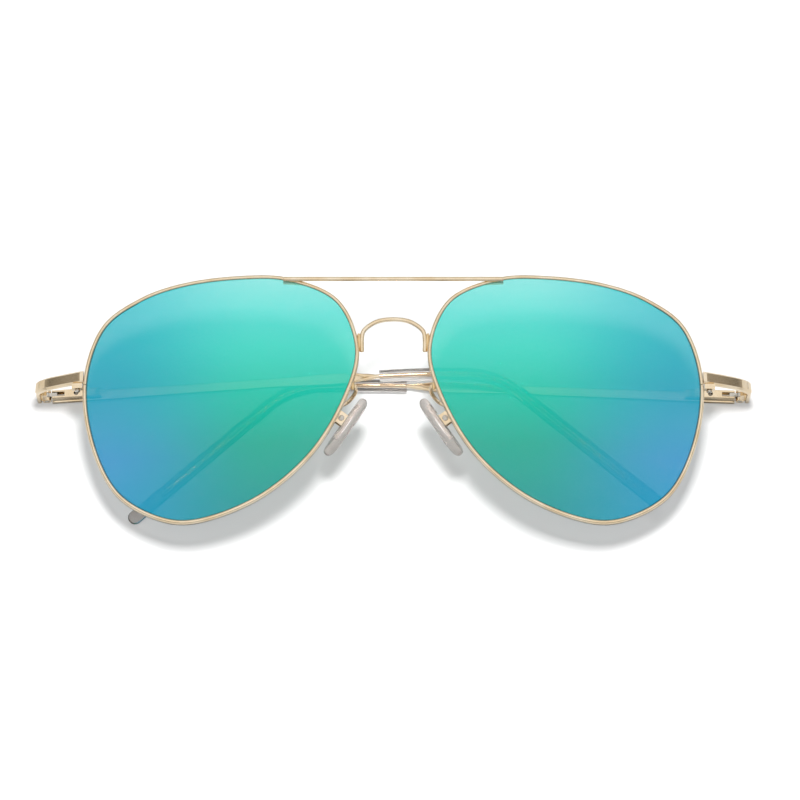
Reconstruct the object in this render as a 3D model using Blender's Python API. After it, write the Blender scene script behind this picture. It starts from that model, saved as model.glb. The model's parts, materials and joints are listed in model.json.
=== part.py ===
"""Aviator sunglasses, folded and lying on their temples with the lenses up.

Blender 4.5 script, metres, +Z up. X is the width, +Y is the brow side, and Z = 0 is the table.
Left and right are the wearer's: the wearer's left side is at +X.
"""
import math

import bmesh
import bpy
from mathutils import Matrix, Vector

MM = 0.001

# Lenses and front
LENS_WIDTH = 57.0 * MM
LENS_HEIGHT = 51.6 * MM
BRIDGE_WIDTH = 15.4 * MM  # between the two lenses
LENS_BASE_RADIUS = 105.0 * MM
LENS_THICKNESS = 1.5 * MM
LENS_EDGE = 0.33 * MM  # flat of its bevelled edge
FACE_FORM = math.radians(5.0)  # each lens turns outward
FRONT_TILT = math.radians(8.0)  # the brow stands higher than the chin side
FRONT_Y = -0.54 * MM

# Rims
RIM_WIDTH = 0.85 * MM  # seen from the front
RIM_DEPTH = 1.9 * MM
RIM_PROUD = 0.25 * MM  # over the lens's front edge
GROOVE_DEPTH = 0.3 * MM
GROOVE_CLEARANCE = 0.08 * MM
RIM_SPLIT = 0.25 * MM  # slot of the rim lock

# Brow bar and nose bridge
BROW_BAR_LENGTH = 46.2 * MM
BROW_BAR_DIAMETER = 0.95 * MM
BROW_BAR_HEIGHT = 25.35 * MM
BRIDGE_WIRE = 0.95 * MM
BRIDGE_TOP = 16.8 * MM
BRIDGE_FOOT = 9.8 * MM
BRIDGE_CORNER = 3.4 * MM
BRIDGE_CROWN = 1.5 * MM

# Hinges
END_REACH = 8.8 * MM  # lens edge to hinge axis
WRAP_DEPTH = 10.4 * MM  # hinge axis to the middle of the rim
END_HEIGHT = 2.7 * MM
END_THICKNESS = 1.5 * MM
END_SLOPE = 0.4  # fall of the end piece for its run outward
END_CORNER = 2.2 * MM  # how far in it starts to turn down to the hinge
CORNER_THICKNESS = 1.8 * MM
KNUCKLE_RADIUS = 0.9 * MM
KNUCKLE_LENGTH = 0.82 * MM
HINGE_SCREW = 0.8 * MM
HINGE_HEIGHT = 2.5 * MM
LEAF_LENGTH = 3.6 * MM

# Temples
BAR_THICKNESS = 1.2 * MM
BAR_HEIGHT = 2.3 * MM
CORE_DIAMETER = 0.95 * MM
SLEEVE_START = 70.7 * MM
SLEEVE_HEIGHT = 2.6 * MM
SLEEVE_THICKNESS = 2.4 * MM
TIP_HEIGHT = 3.0 * MM
BEND_START = 89.2 * MM
BEND_RADIUS = 18.0 * MM
BEND_ANGLE = math.radians(39.0)
SOFT_BEND = math.radians(5.0)  # spread over the sleeve before the bend
TEMPLE_LENGTH = 140.0 * MM  # along its middle
HOUSING_LENGTH = 10.5 * MM
HOUSING_HEIGHT = 2.0 * MM
CORE_SHORT = 9.0 * MM  # the core wire ends this far before the tip
SLIDER_BLOCK = 0.8 * MM
TONGUE_RUN = 1.1 * MM  # the slider's block reaches this far into the housing
SPRING_WIRE = 0.16 * MM
SPRING_TURNS = 6
SPRING_BORE = 1.2 * MM
SPRING_SPARE = 1.24 * MM  # air left between its turns at full travel
STOP_LENGTH = 0.5 * MM
ROD_DIAMETER = 0.5 * MM
SLIDE_TRAVEL = 1.2 * MM
HOUSING_WALL = 0.6 * MM
HOUSING_BEVEL = 0.22 * MM
AXIS_TILT = {1: math.radians(2.1), -1: math.radians(3.1)}
FOLD_LIFT = {1: 0.0, -1: math.radians(2.2)}  # the right temple folds over the left

# Nose pads
PAD_LENGTH = 14.4 * MM
PAD_WIDTH = 6.8 * MM
PAD_THICKNESS = 2.1 * MM
PAD_PLACE = Vector((9.9, -5.5, -6.9)) * MM  # from the middle of the front
PAD_SPLAY = math.radians(34.5)
PAD_FLARE = math.radians(12.0)
BOX_UP = 0.85 * MM  # the pad box sits above the pad's middle
BOX_SIZE = 2.6 * MM
BOX_DEPTH = 1.9 * MM
BOX_WALL = 0.5 * MM
BOX_FLOOR = 0.3 * MM
INSERT_SIZE = (8.4 * MM, 0.7 * MM, 3.2 * MM)
POCKET_DEPTH = 0.9 * MM
TAB_REACH = 0.5 * MM  # past the screw's middle, short of the box's floor as the pad rocks
ARM_WIRE = 0.85 * MM
ARM_HEIGHT = 2.4 * MM  # where the arm leaves the rim, above the lens's middle
SMALL_SCREW = 0.7 * MM  # rim locks and pads
LOCK_PLATE = 1.1 * MM
LOCK_LENGTH = 2.3 * MM
LOCK_SCREW_OUT = 1.15 * MM  # from the root of the end piece

GAP = 0.1 * MM  # between pieces that are soldered or seated
RUNNING_GAP = 0.07 * MM  # round pins, rods and springs
OVERRUN = 1.0 * MM  # how far a cutter starts outside what it cuts

# Half the lens's outline is 1 wide and 1 high: temple side at +1, brow at +1. It starts at the rim lock.
LENS_SHAPE = (
    (1.000, 0.141), (0.879, 0.596), (0.603, 0.827), (0.266, 0.948), (-0.156, 0.999),
    (-0.504, 0.980), (-0.855, 0.803), (-1.000, 0.400), (-0.904, -0.024), (-0.670, -0.462),
    (-0.319, -0.799), (0.089, -0.984), (0.408, -0.984), (0.745, -0.772), (0.936, -0.364),
)
STEPS_PER_SPAN = 4

SIDE_NAMES = {1: "left", -1: "right"}
LENS_X = (BRIDGE_WIDTH + LENS_WIDTH) / 2
HINGE_OFFSET = KNUCKLE_RADIUS + BAR_THICKNESS  # hinge axis to the temple's outer face
HINGE_X = LENS_X + LENS_WIDTH / 2 + END_REACH
HINGE_Z = HINGE_OFFSET


# ---------------------------------------------------------------- small tools
def clear_scene():
    for item in list(bpy.data.objects):
        bpy.data.objects.remove(item, do_unlink=True)


def material(name, colour, metallic, roughness, transmission=0.0):
    made = bpy.data.materials.new(name)
    made.use_nodes = True
    shader = made.node_tree.nodes["Principled BSDF"]
    shader.inputs["Base Color"].default_value = (*colour, 1)
    shader.inputs["Metallic"].default_value = metallic
    shader.inputs["Roughness"].default_value = roughness
    shader.inputs["Transmission Weight"].default_value = transmission
    made.diffuse_color = (*colour, 1)
    return made


def mesh_object(name, points, faces, look):
    """One closed mesh whose faces point out."""
    mesh = bpy.data.meshes.new(name)
    shape = bmesh.new()
    corners = [shape.verts.new(point) for point in points]
    for face in faces:
        shape.faces.new([corners[i] for i in face])
    bmesh.ops.recalc_face_normals(shape, faces=shape.faces)
    shape.to_mesh(mesh)
    shape.free()
    mesh.shade_smooth()
    mesh.set_sharp_from_angle(angle=math.radians(35))
    made = bpy.data.objects.new(name, mesh)
    made.data.materials.append(look)
    bpy.context.scene.collection.objects.link(made)
    return made


def loft(name, rings, look, closed=False):
    """A skin through rings of equal length. Open lofts get a cap at each end."""
    count = len(rings[0])
    points = [point for ring in rings for point in ring]
    faces = []
    spans = len(rings) if closed else len(rings) - 1
    for i in range(spans):
        here, there = i * count, (i + 1) % len(rings) * count
        for j in range(count):
            k = (j + 1) % count
            faces.append((here + j, here + k, there + k, there + j))
    if not closed:
        faces.append(tuple(range(count)))
        faces.append(tuple(range(len(points) - count, len(points))))
    return mesh_object(name, points, faces, look)


def circle(middle, across, up, radius, sides):
    turn = 2 * math.pi / sides
    return [
        middle + radius * (math.cos(i * turn) * across + math.sin(i * turn) * up)
        for i in range(sides)
    ]


def rod(name, start, end, radius, look, sides=16):
    along = (end - start).normalized()
    across = along.orthogonal().normalized()
    up = along.cross(across)
    return loft(name, [circle(p, across, up, radius, sides) for p in (start, end)], look)


def block(name, frame, low, high, look, bevel=0.0):
    """A box given by its low and high corners in a frame, with its long edges cut."""
    (x0, y0, z0), (x1, y1, z1) = low, high
    outline = [(x0 + bevel, y0), (x1 - bevel, y0), (x1, y0 + bevel), (x1, y1 - bevel),
               (x1 - bevel, y1), (x0 + bevel, y1), (x0, y1 - bevel), (x0, y0 + bevel)]
    if not bevel:
        outline = [(x0, y0), (x1, y0), (x1, y1), (x0, y1)]
    rings = [[frame @ Vector((x, y, z)) for x, y in outline] for z in (z0, z1)]
    return loft(name, rings, look)


def tube(name, path, radius, look, sides=10, hint=Vector((0, 0, 1))):
    """A round wire along a path, with its rings turned as little as they can be."""
    rings, across = [], None
    for i, point in enumerate(path):
        along = (path[min(i + 1, len(path) - 1)] - path[max(i - 1, 0)]).normalized()
        side = across if across else along.cross(hint)
        across = (side - side.dot(along) * along).normalized()
        rings.append(circle(point, across, along.cross(across), radius, sides))
    return loft(name, rings, look)


def smooth_path(points, steps, closed=False):
    """A Catmull-Rom curve through the points."""
    count = len(points)
    spans = count if closed else count - 1
    made = []
    for i in range(spans):
        near = [i - 1, i, i + 1, i + 2]
        if closed:
            near = [k % count for k in near]
        else:
            near = [min(max(k, 0), count - 1) for k in near]
        a, b, c, d = (points[k] for k in near)
        for step in range(steps):
            t = step / steps
            made.append(
                0.5 * (2 * b + (c - a) * t + (2 * a - 5 * b + 4 * c - d) * t**2
                       + (3 * b - a - 3 * c + d) * t**3)
            )
    if not closed:
        made.append(points[-1])
    return made


def combine(name, base, add=(), cut=()):
    """Joins and cuts with exact Booleans, and leaves one object."""
    for helpers, operation in ((add, "UNION"), (cut, "DIFFERENCE")):
        for helper in helpers:
            change = base.modifiers.new(operation, "BOOLEAN")
            change.operation = operation
            change.solver = "EXACT"
            change.object = helper
    bpy.context.view_layer.update()
    graph = bpy.context.evaluated_depsgraph_get()
    mesh = bpy.data.meshes.new_from_object(base.evaluated_get(graph))
    base.modifiers.clear()
    base.data = mesh
    base.name = mesh.name = name
    for helper in (*add, *cut):
        bpy.data.objects.remove(helper, do_unlink=True)
    mesh.shade_smooth()
    mesh.set_sharp_from_angle(angle=math.radians(35))
    return base


def frame_at(origin, x_axis, y_axis, z_axis):
    made = Matrix((x_axis, y_axis, z_axis)).transposed().to_4x4()
    made.translation = origin
    return made


def joint_empty(name, place, pieces):
    """An empty on the joint's axis that carries the pieces moving about it."""
    empty = bpy.data.objects.new(name, None)
    empty.location = place
    empty.empty_display_size = 3 * MM
    bpy.context.scene.collection.objects.link(empty)
    for piece in pieces:
        piece.parent = empty
        piece.location = piece.location - place
    return empty


# ---------------------------------------------------------------- front
def lens_drop(out, up):
    """How far the lens's front lies behind its middle, at a place in the front's plane."""
    turned = out + LENS_BASE_RADIUS * math.sin(FACE_FORM)
    depth = math.sqrt(LENS_BASE_RADIUS**2 - turned**2 - up**2)
    return LENS_BASE_RADIUS * math.cos(FACE_FORM) - depth


LOCK_OUT = LENS_WIDTH / 2 * LENS_SHAPE[0][0]
LOCK_UP = LENS_HEIGHT / 2 * LENS_SHAPE[0][1]
END_UP = LOCK_UP + END_HEIGHT / 2  # middle of the end piece, from the lens's middle
RIM_MIDDLE = RIM_DEPTH / 2 - RIM_PROUD  # behind the lens's front edge
END_BACK = lens_drop(LOCK_OUT, END_UP) + RIM_MIDDLE
FRONT_Z = HINGE_Z + WRAP_DEPTH - END_UP * math.sin(FRONT_TILT) + END_BACK * math.cos(FRONT_TILT)
FRONT = Matrix.Translation((0, FRONT_Y, FRONT_Z)) @ Matrix.Rotation(FRONT_TILT, 4, "X")
HINGE_Y = (FRONT @ Vector((0, END_UP, -END_BACK))).y
ROOT_OUT = LOCK_OUT + RIM_WIDTH - GROOVE_DEPTH + GAP + LENS_X - HINGE_X  # from the hinge's axis


def lens_outline(offset):
    """Points round the lens in the front's plane, moved outward by the offset."""
    corners = [Vector((x * LENS_WIDTH / 2, y * LENS_HEIGHT / 2, 0)) for x, y in LENS_SHAPE]
    loop = smooth_path(corners, STEPS_PER_SPAN, closed=True)
    made = []
    for i, point in enumerate(loop):
        along = (loop[(i + 1) % len(loop)] - loop[i - 1]).normalized()
        made.append(point + offset * Vector((along.y, -along.x, 0)))
    return made


def on_front(side, point, back):
    """A place in the front's plane, laid on the lens's sphere and moved back from it."""
    drop = lens_drop(point.x, point.y)
    return FRONT @ Vector((side * (LENS_X + point.x), point.y, -drop - back))


def make_lens(side, look):
    half, edge = LENS_THICKNESS / 2, LENS_EDGE / 2
    outer = lens_outline(0)
    inner = lens_outline(-GROOVE_DEPTH)
    rings = []
    for share in (0.34, 0.67):
        rings.append([on_front(side, point * share, 0) for point in inner])
    rings.append([on_front(side, point, 0) for point in inner])
    rings.append([on_front(side, point, half - edge) for point in outer])
    rings.append([on_front(side, point, half + edge) for point in outer])
    rings.append([on_front(side, point, LENS_THICKNESS) for point in inner])
    for share in (0.67, 0.34):
        rings.append([on_front(side, point * share, LENS_THICKNESS) for point in inner])
    return loft(f"lens_{SIDE_NAMES[side]}", rings, look)


def make_rim(side, look):
    """An open ring of grooved wire. Its ends meet at the rim lock."""
    low = RIM_DEPTH - RIM_PROUD
    middle = LENS_THICKNESS / 2
    flat = LENS_EDGE / 2 + GROOVE_CLEARANCE
    inside = lens_outline(-GROOVE_DEPTH + GROOVE_CLEARANCE)
    groove = lens_outline(GROOVE_CLEARANCE)
    outside = lens_outline(RIM_WIDTH - GROOVE_DEPTH)
    rounded = lens_outline(RIM_WIDTH - GROOVE_DEPTH - RIM_WIDTH * 0.3)
    section = (
        (inside, -RIM_PROUD * 0.4), (rounded, -RIM_PROUD), (outside, -RIM_PROUD + RIM_WIDTH * 0.35),
        (outside, low - RIM_WIDTH * 0.35), (rounded, low), (inside, low),
        (inside, LENS_THICKNESS), (groove, middle + flat), (groove, middle - flat), (inside, 0),
    )
    rings = [
        [on_front(side, loop[i], back) for loop, back in section] for i in range(len(inside))
    ]
    # Both ends stand half the split away from the lock's middle.
    first = [p.lerp(q, RIM_SPLIT / 2 / (q - p).length) for p, q in zip(rings[0], rings[1])]
    last = [p.lerp(q, RIM_SPLIT / 2 / (q - p).length) for p, q in zip(rings[0], rings[-1])]
    return loft(f"rim_{SIDE_NAMES[side]}", [first, *rings[1:], last], look)


def make_brow_bar(look):
    half = BROW_BAR_LENGTH / 2
    drop = lens_drop(half - LENS_X, BROW_BAR_HEIGHT)
    out = RIM_PROUD + BROW_BAR_DIAMETER / 2 + GAP
    ends = [FRONT @ Vector((x, BROW_BAR_HEIGHT, out - drop)) for x in (-half, half)]
    return rod("brow_bar", *ends, BROW_BAR_DIAMETER / 2, look, sides=14)


def rim_inner_edge(height):
    """X of the rim's nose side at a height in the front's plane."""
    loop = lens_outline(RIM_WIDTH - GROOVE_DEPTH)
    nose_side = [point for point in loop if point.x < 0]
    return LENS_X + min(nose_side, key=lambda point: abs(point.y - height)).x


def make_bridge(look):
    """An arch of wire between the rims, with a foot down each side."""
    foot_x = min(rim_inner_edge(BRIDGE_FOOT), rim_inner_edge(BRIDGE_FOOT + 2 * MM))
    foot_x -= BRIDGE_WIRE / 2 + GAP
    shoulder = BRIDGE_TOP - BRIDGE_CROWN
    corner = BRIDGE_CORNER
    half = [
        Vector((foot_x, BRIDGE_FOOT, 0)),
        Vector((foot_x, shoulder - corner * 0.75, 0)),
        Vector((foot_x - corner * 0.12, shoulder - corner * 0.28, 0)),
        Vector((foot_x - corner * 0.55, shoulder + corner * 0.1, 0)),
        Vector((foot_x * 0.42, BRIDGE_TOP - BRIDGE_CROWN * 0.2, 0)),
    ]
    back = lens_drop(foot_x - LENS_X, BRIDGE_FOOT) + RIM_MIDDLE * 0.8
    points = half + [Vector((0, BRIDGE_TOP, 0))]
    points += [Vector((-p.x, p.y, 0)) for p in reversed(half)]
    path = [FRONT @ Vector((p.x, p.y, -back)) for p in smooth_path(points, 3)]
    return tube("nose_bridge", path, BRIDGE_WIRE / 2, look, hint=FRONT.to_3x3() @ Vector((0, 0, 1)))


# ---------------------------------------------------------------- hinge side
def hinge_frame(side):
    """Origin on the hinge axis. x points outward, y up the axis, z to the front."""
    tilt = AXIS_TILT[side]
    outward = Vector((side * math.cos(tilt), -math.sin(tilt), 0))
    upward = Vector((side * math.sin(tilt), math.cos(tilt), 0))
    return frame_at(Vector((side * HINGE_X, HINGE_Y, HINGE_Z)), outward, upward, Vector((0, 0, 1)))


def temple_frame(side):
    """Origin on the hinge axis. x runs along the folded temple, y up the axis, z to its inner face."""
    lift = Matrix.Rotation(FOLD_LIFT[side], 4, "Y")
    return hinge_frame(side) @ Matrix.Scale(-1, 4, (1, 0, 0)) @ lift.inverted()


def section_ring(middle, across, up, half_across, half_up, cut):
    """A rectangle with its corners cut."""
    a, b = half_across, half_up
    corners = ((a, b - cut), (a - cut, b), (cut - a, b), (-a, b - cut),
               (-a, cut - b), (cut - a, -b), (a - cut, -b), (a, cut - b))
    return [middle + x * across + y * up for x, y in corners]


def end_piece_stations():
    """The end piece's middle line from the rim round to the tail, as (out, forward, thickness)."""
    tail = BAR_THICKNESS - 2 * GAP
    tail_out = HINGE_OFFSET - tail / 2
    run = tail_out - ROOT_OUT
    wall = LEAF_LENGTH + 6 * GAP  # it stands upright below this, clear of the leaf
    line = [
        Vector((ROOT_OUT, WRAP_DEPTH, END_THICKNESS)),
        Vector((ROOT_OUT + 0.5 * run, WRAP_DEPTH - 0.5 * run * END_SLOPE, END_THICKNESS)),
        Vector((tail_out - END_CORNER, wall + 1.36 * END_CORNER, END_THICKNESS)),
        Vector((tail_out - (CORNER_THICKNESS - tail) / 2, wall + 0.64 * END_CORNER, CORNER_THICKNESS)),
        Vector((tail_out, wall + 0.1 * END_CORNER, tail)),
        Vector((tail_out, wall * 0.6, tail)),
        Vector((tail_out, -KNUCKLE_RADIUS, tail)),
    ]
    return smooth_path(line, 3)


def make_end_piece(side, look):
    frame = hinge_frame(side)
    line = end_piece_stations()
    up = frame.to_3x3() @ Vector((0, 1, 0))
    rings = []
    for i, point in enumerate(line):
        share = i / (len(line) - 1)
        along = line[min(i + 1, len(line) - 1)] - line[max(i - 1, 0)]
        along = Vector((along.x, along.y)).normalized() if i else Vector((1, 0))
        across = frame.to_3x3() @ Vector((along.y, 0, -along.x))
        high = END_HEIGHT + (HINGE_HEIGHT - END_HEIGHT) * share
        middle = frame @ Vector((point.x, 0, point.y))
        rings.append(section_ring(middle, up, across, high / 2, point.z / 2, 0.25 * point.z))
    body = loft("end_piece", rings, look)
    screw = lock_screw_line(side)
    reach = END_HEIGHT * 0.6
    bore = rod("bore", screw(-OVERRUN), screw(reach), SMALL_SCREW / 2 + RUNNING_GAP, look, sides=12)
    return combine(f"end_piece_{SIDE_NAMES[side]}", body, cut=[bore])


def lock_screw_line(side):
    """Places along the lock screw, measured up from the end piece's lower edge."""
    frame = hinge_frame(side)
    out = ROOT_OUT + LOCK_SCREW_OUT
    back = WRAP_DEPTH - END_SLOPE * LOCK_SCREW_OUT
    return lambda up: frame @ Vector((out, up - END_HEIGHT / 2, back))


def make_rim_lock(side, look):
    """The lower half of the rim lock. The upper half is the end piece's root."""
    frame = hinge_frame(side)
    top = -END_HEIGHT / 2 - GAP
    low = (ROOT_OUT + GAP, top - LOCK_PLATE, WRAP_DEPTH - 0.7 * END_THICKNESS)
    high = (ROOT_OUT + LOCK_LENGTH, top, WRAP_DEPTH + 0.3 * END_THICKNESS)
    body = block("lock", frame, low, high, look)
    screw = lock_screw_line(side)
    bore = rod("bore", screw(-LOCK_PLATE - OVERRUN), screw(GAP), SMALL_SCREW / 2 + RUNNING_GAP, look,
               sides=12)
    return combine(f"rim_lock_{SIDE_NAMES[side]}", body, cut=[bore])


def make_screw(name, place, down, length, diameter, look):
    """A screw. place(0) is under its head, and down is 1 or -1 along place."""
    shank = rod(name, place(0), place(down * length), diameter / 2, look, sides=12)
    head = rod("head", place(-down * diameter * 0.6), place(down * GAP / 5), diameter * 0.85, look, sides=16)
    return combine(name, shank, add=[head])


def make_lock_screw(side, look):
    line = lock_screw_line(side)
    under = -LOCK_PLATE - 2 * GAP
    return make_screw(f"rim_lock_screw_{SIDE_NAMES[side]}", lambda d: line(under + d), 1,
                      LOCK_PLATE + 2 * GAP + END_HEIGHT * 0.5, SMALL_SCREW, look)


def knuckle(frame, low, high, look):
    ends = [frame @ Vector((0, y, 0)) for y in (low, high)]
    return rod("knuckle", *ends, KNUCKLE_RADIUS, look, sides=20)


def make_hinge_leaf(side, look):
    """The front half of the hinge: a plate on the tail and two knuckles."""
    frame = hinge_frame(side)
    half = HINGE_HEIGHT / 2
    inner = KNUCKLE_LENGTH / 2 + GAP
    plate_out = HINGE_OFFSET - BAR_THICKNESS - GAP
    edge = half - RUNNING_GAP
    plate = block("plate", frame, (-GAP, -edge, 0), (plate_out, edge, LEAF_LENGTH), look)
    knuckles = [knuckle(frame, -half, half, look)]
    room = KNUCKLE_RADIUS + GAP
    slot = block("slot", frame, (-room - OVERRUN, -inner, -room - OVERRUN),
                 (room + OVERRUN, inner, room), look)
    bore = rod("bore", frame @ Vector((0, -half - OVERRUN, 0)), frame @ Vector((0, half + OVERRUN, 0)),
               HINGE_SCREW / 2 + RUNNING_GAP, look, sides=14)
    return combine(f"hinge_leaf_{SIDE_NAMES[side]}", plate, add=knuckles, cut=[slot, bore])


def make_hinge_screw(side, look):
    frame = hinge_frame(side)
    top = HINGE_HEIGHT / 2 + GAP
    return make_screw(f"hinge_screw_{SIDE_NAMES[side]}",
                      lambda d: frame @ Vector((0, top + d, 0)), -1,
                      HINGE_HEIGHT + 2 * GAP, HINGE_SCREW, look)


# Places along the temple, from the hinge axis
HOUSING_NEAR = KNUCKLE_RADIUS + 2 * GAP
HOUSING_FAR = HOUSING_NEAR + HOUSING_LENGTH
CHANNEL_END = HOUSING_NEAR + TONGUE_RUN + 4 / 3 * SLIDE_TRAVEL
FLAT_END = HOUSING_FAR + 3 * MM  # the bar is straight and even behind the housing
SPRING_NEAR = CHANNEL_END + HOUSING_WALL
SPRING_LENGTH = SPRING_TURNS * SPRING_WIRE + SLIDE_TRAVEL + SPRING_SPARE
BORE_FAR = SPRING_NEAR + SPRING_LENGTH + STOP_LENGTH + SPRING_BORE * 2 / 3
CHANNEL_WIDTH = SLIDER_BLOCK + 2 * RUNNING_GAP


def make_slider(side, look):
    """The temple half of the hinge: one knuckle on a block and rod that slide in the housing."""
    frame = temple_frame(side)
    half = KNUCKLE_LENGTH / 2
    body = knuckle(frame, -half, half, look)
    thick = SLIDER_BLOCK / 2
    tongue = block("tongue", frame, (0, -thick, -thick),
                   (HOUSING_NEAR + TONGUE_RUN, thick, 1.75 * thick), look)
    far = SPRING_NEAR + SPRING_LENGTH + STOP_LENGTH + RUNNING_GAP
    stem = rod("stem", frame @ Vector((HOUSING_NEAR + TONGUE_RUN / 2, 0, 0)), frame @ Vector((far, 0, 0)),
               ROD_DIAMETER / 2, look, sides=10)
    bore = rod("bore", frame @ Vector((0, -half - OVERRUN, 0)), frame @ Vector((0, half + OVERRUN, 0)),
               HINGE_SCREW / 2 + RUNNING_GAP, look, sides=14)
    return combine(f"hinge_slider_{SIDE_NAMES[side]}", body, add=[tongue, stem], cut=[bore])


def make_slider_stop(side, look):
    frame = temple_frame(side)
    near = SPRING_NEAR + SPRING_LENGTH + RUNNING_GAP / 2
    far = near + STOP_LENGTH
    ends = [frame @ Vector((x, 0, 0)) for x in (near, far)]
    ring = rod("ring", *ends, SPRING_BORE / 2 - RUNNING_GAP, look, sides=14)
    hole = rod("hole", frame @ Vector((near - OVERRUN, 0, 0)), frame @ Vector((far + OVERRUN, 0, 0)),
               ROD_DIAMETER / 2 + RUNNING_GAP / 2, look, sides=10)
    return combine(f"slider_stop_{SIDE_NAMES[side]}", ring, cut=[hole])


def make_spring(side, look):
    """A compression spring on the slider's rod."""
    frame = temple_frame(side)
    radius = SPRING_BORE / 2 - RUNNING_GAP - SPRING_WIRE / 2
    near = SPRING_NEAR + SPRING_WIRE / 2 + RUNNING_GAP / 2
    rise = SPRING_LENGTH - SPRING_WIRE - RUNNING_GAP
    per_turn = 10
    steps = SPRING_TURNS * per_turn
    path = []
    for i in range(steps + 1):
        turn = 2 * math.pi * i / per_turn
        reach = near + rise * i / steps
        path.append(frame @ Vector((reach, radius * math.cos(turn), radius * math.sin(turn))))
    return tube(f"hinge_spring_{SIDE_NAMES[side]}", path, SPRING_WIRE / 2, look, sides=5,
                hint=frame.to_3x3() @ Vector((1, 0, 0)))


def make_housing(side, look):
    """The spring box on the temple's inner face: channel, inner wall, spring bore and a round hole."""
    frame = temple_frame(side)
    half = HOUSING_HEIGHT / 2
    low, high = -KNUCKLE_RADIUS + GAP, KNUCKLE_RADIUS
    turned = frame @ Matrix(((0, 0, 1, 0), (0, 1, 0, 0), (-1, 0, 0, 0), (0, 0, 0, 1)))
    body = block("box", turned, (-high, -half, HOUSING_NEAR), (-low, half, HOUSING_FAR), look,
                 bevel=HOUSING_BEVEL)
    wide = CHANNEL_WIDTH / 2
    channel = block("channel", frame, (HOUSING_NEAR - OVERRUN, -wide, -wide),
                    (CHANNEL_END, wide, high + OVERRUN), look)
    bore = rod("bore", frame @ Vector((SPRING_NEAR, 0, 0)), frame @ Vector((BORE_FAR, 0, 0)),
               SPRING_BORE / 2, look, sides=16)
    neck = rod("neck", frame @ Vector((CHANNEL_END - HOUSING_WALL, 0, 0)),
               frame @ Vector((SPRING_NEAR + HOUSING_WALL, 0, 0)), ROD_DIAMETER / 2 + RUNNING_GAP, look,
               sides=12)
    hole_x = SPRING_NEAR + SPRING_LENGTH * 0.55
    hole = rod("hole", frame @ Vector((hole_x, 0, 0)), frame @ Vector((hole_x, 0, high + OVERRUN)),
               SPRING_BORE * 0.42, look, sides=16)
    return combine(f"hinge_housing_{SIDE_NAMES[side]}", body, cut=[channel, bore, neck, hole])


# ---------------------------------------------------------------- temples
def temple_point(length):
    """(along, up, turn) of the temple's middle line at a length from the hinge axis."""
    soft = BEND_START - SLEEVE_START
    bend = BEND_RADIUS * BEND_ANGLE
    along, up, turn = min(length, SLEEVE_START), 0.0, 0.0
    if length > SLEEVE_START:
        run = min(length - SLEEVE_START, soft)
        radius = soft / SOFT_BEND
        turn = run / radius
        along += radius * math.sin(turn)
        up -= radius * (1 - math.cos(turn))
    if length > BEND_START:
        run = min(length - BEND_START, bend)
        extra = run / BEND_RADIUS
        along += BEND_RADIUS * (math.sin(turn + extra) - math.sin(turn))
        up -= BEND_RADIUS * (math.cos(turn) - math.cos(turn + extra))
        turn += extra
    if length > BEND_START + bend:
        run = length - BEND_START - bend
        along += run * math.cos(turn)
        up -= run * math.sin(turn)
    return along, up, turn


def temple_inset(length):
    """How far in from the hinge axis's plane the middle line runs: the bar bows in to the sleeve."""
    bar = -(KNUCKLE_RADIUS + BAR_THICKNESS / 2)
    sleeve = SLEEVE_THICKNESS / 2 - HINGE_OFFSET
    share = min(max((length - FLAT_END) / (SLEEVE_START - 5 * MM - FLAT_END), 0), 1)
    return bar + (sleeve - bar) * share * share * (3 - 2 * share)


def oval(side, length, high, thick, sides, square=0.0):
    """A ring across the temple. square pulls it from an ellipse towards a rectangle."""
    frame = temple_frame(side)
    along, up, turn = temple_point(length)
    middle = Vector((along, up, temple_inset(length)))
    upward = Vector((math.sin(turn), math.cos(turn), 0))
    ring = []
    for i in range(sides):
        angle = 2 * math.pi * (i + 0.5) / sides
        x, y = math.cos(angle), math.sin(angle)
        push = 1 + square * (1 / max(abs(x), abs(y)) - 1)
        ring.append(frame @ (middle + upward * (high / 2 * x * push) + Vector((0, 0, thick / 2 * y * push))))
    return ring


def bend_lengths(start, end, spacing):
    """Lengths along the temple, closer together round the bend."""
    bend_end = BEND_START + BEND_RADIUS * BEND_ANGLE
    stops = [start, BEND_START, bend_end, end]
    gaps = [spacing * 2, spacing, spacing * 3]
    made = []
    for low, high, gap in zip(stops, stops[1:], gaps):
        count = max(1, round((high - low) / gap))
        made += [low + (high - low) * i / count for i in range(count)]
    return made + [end]


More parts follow.
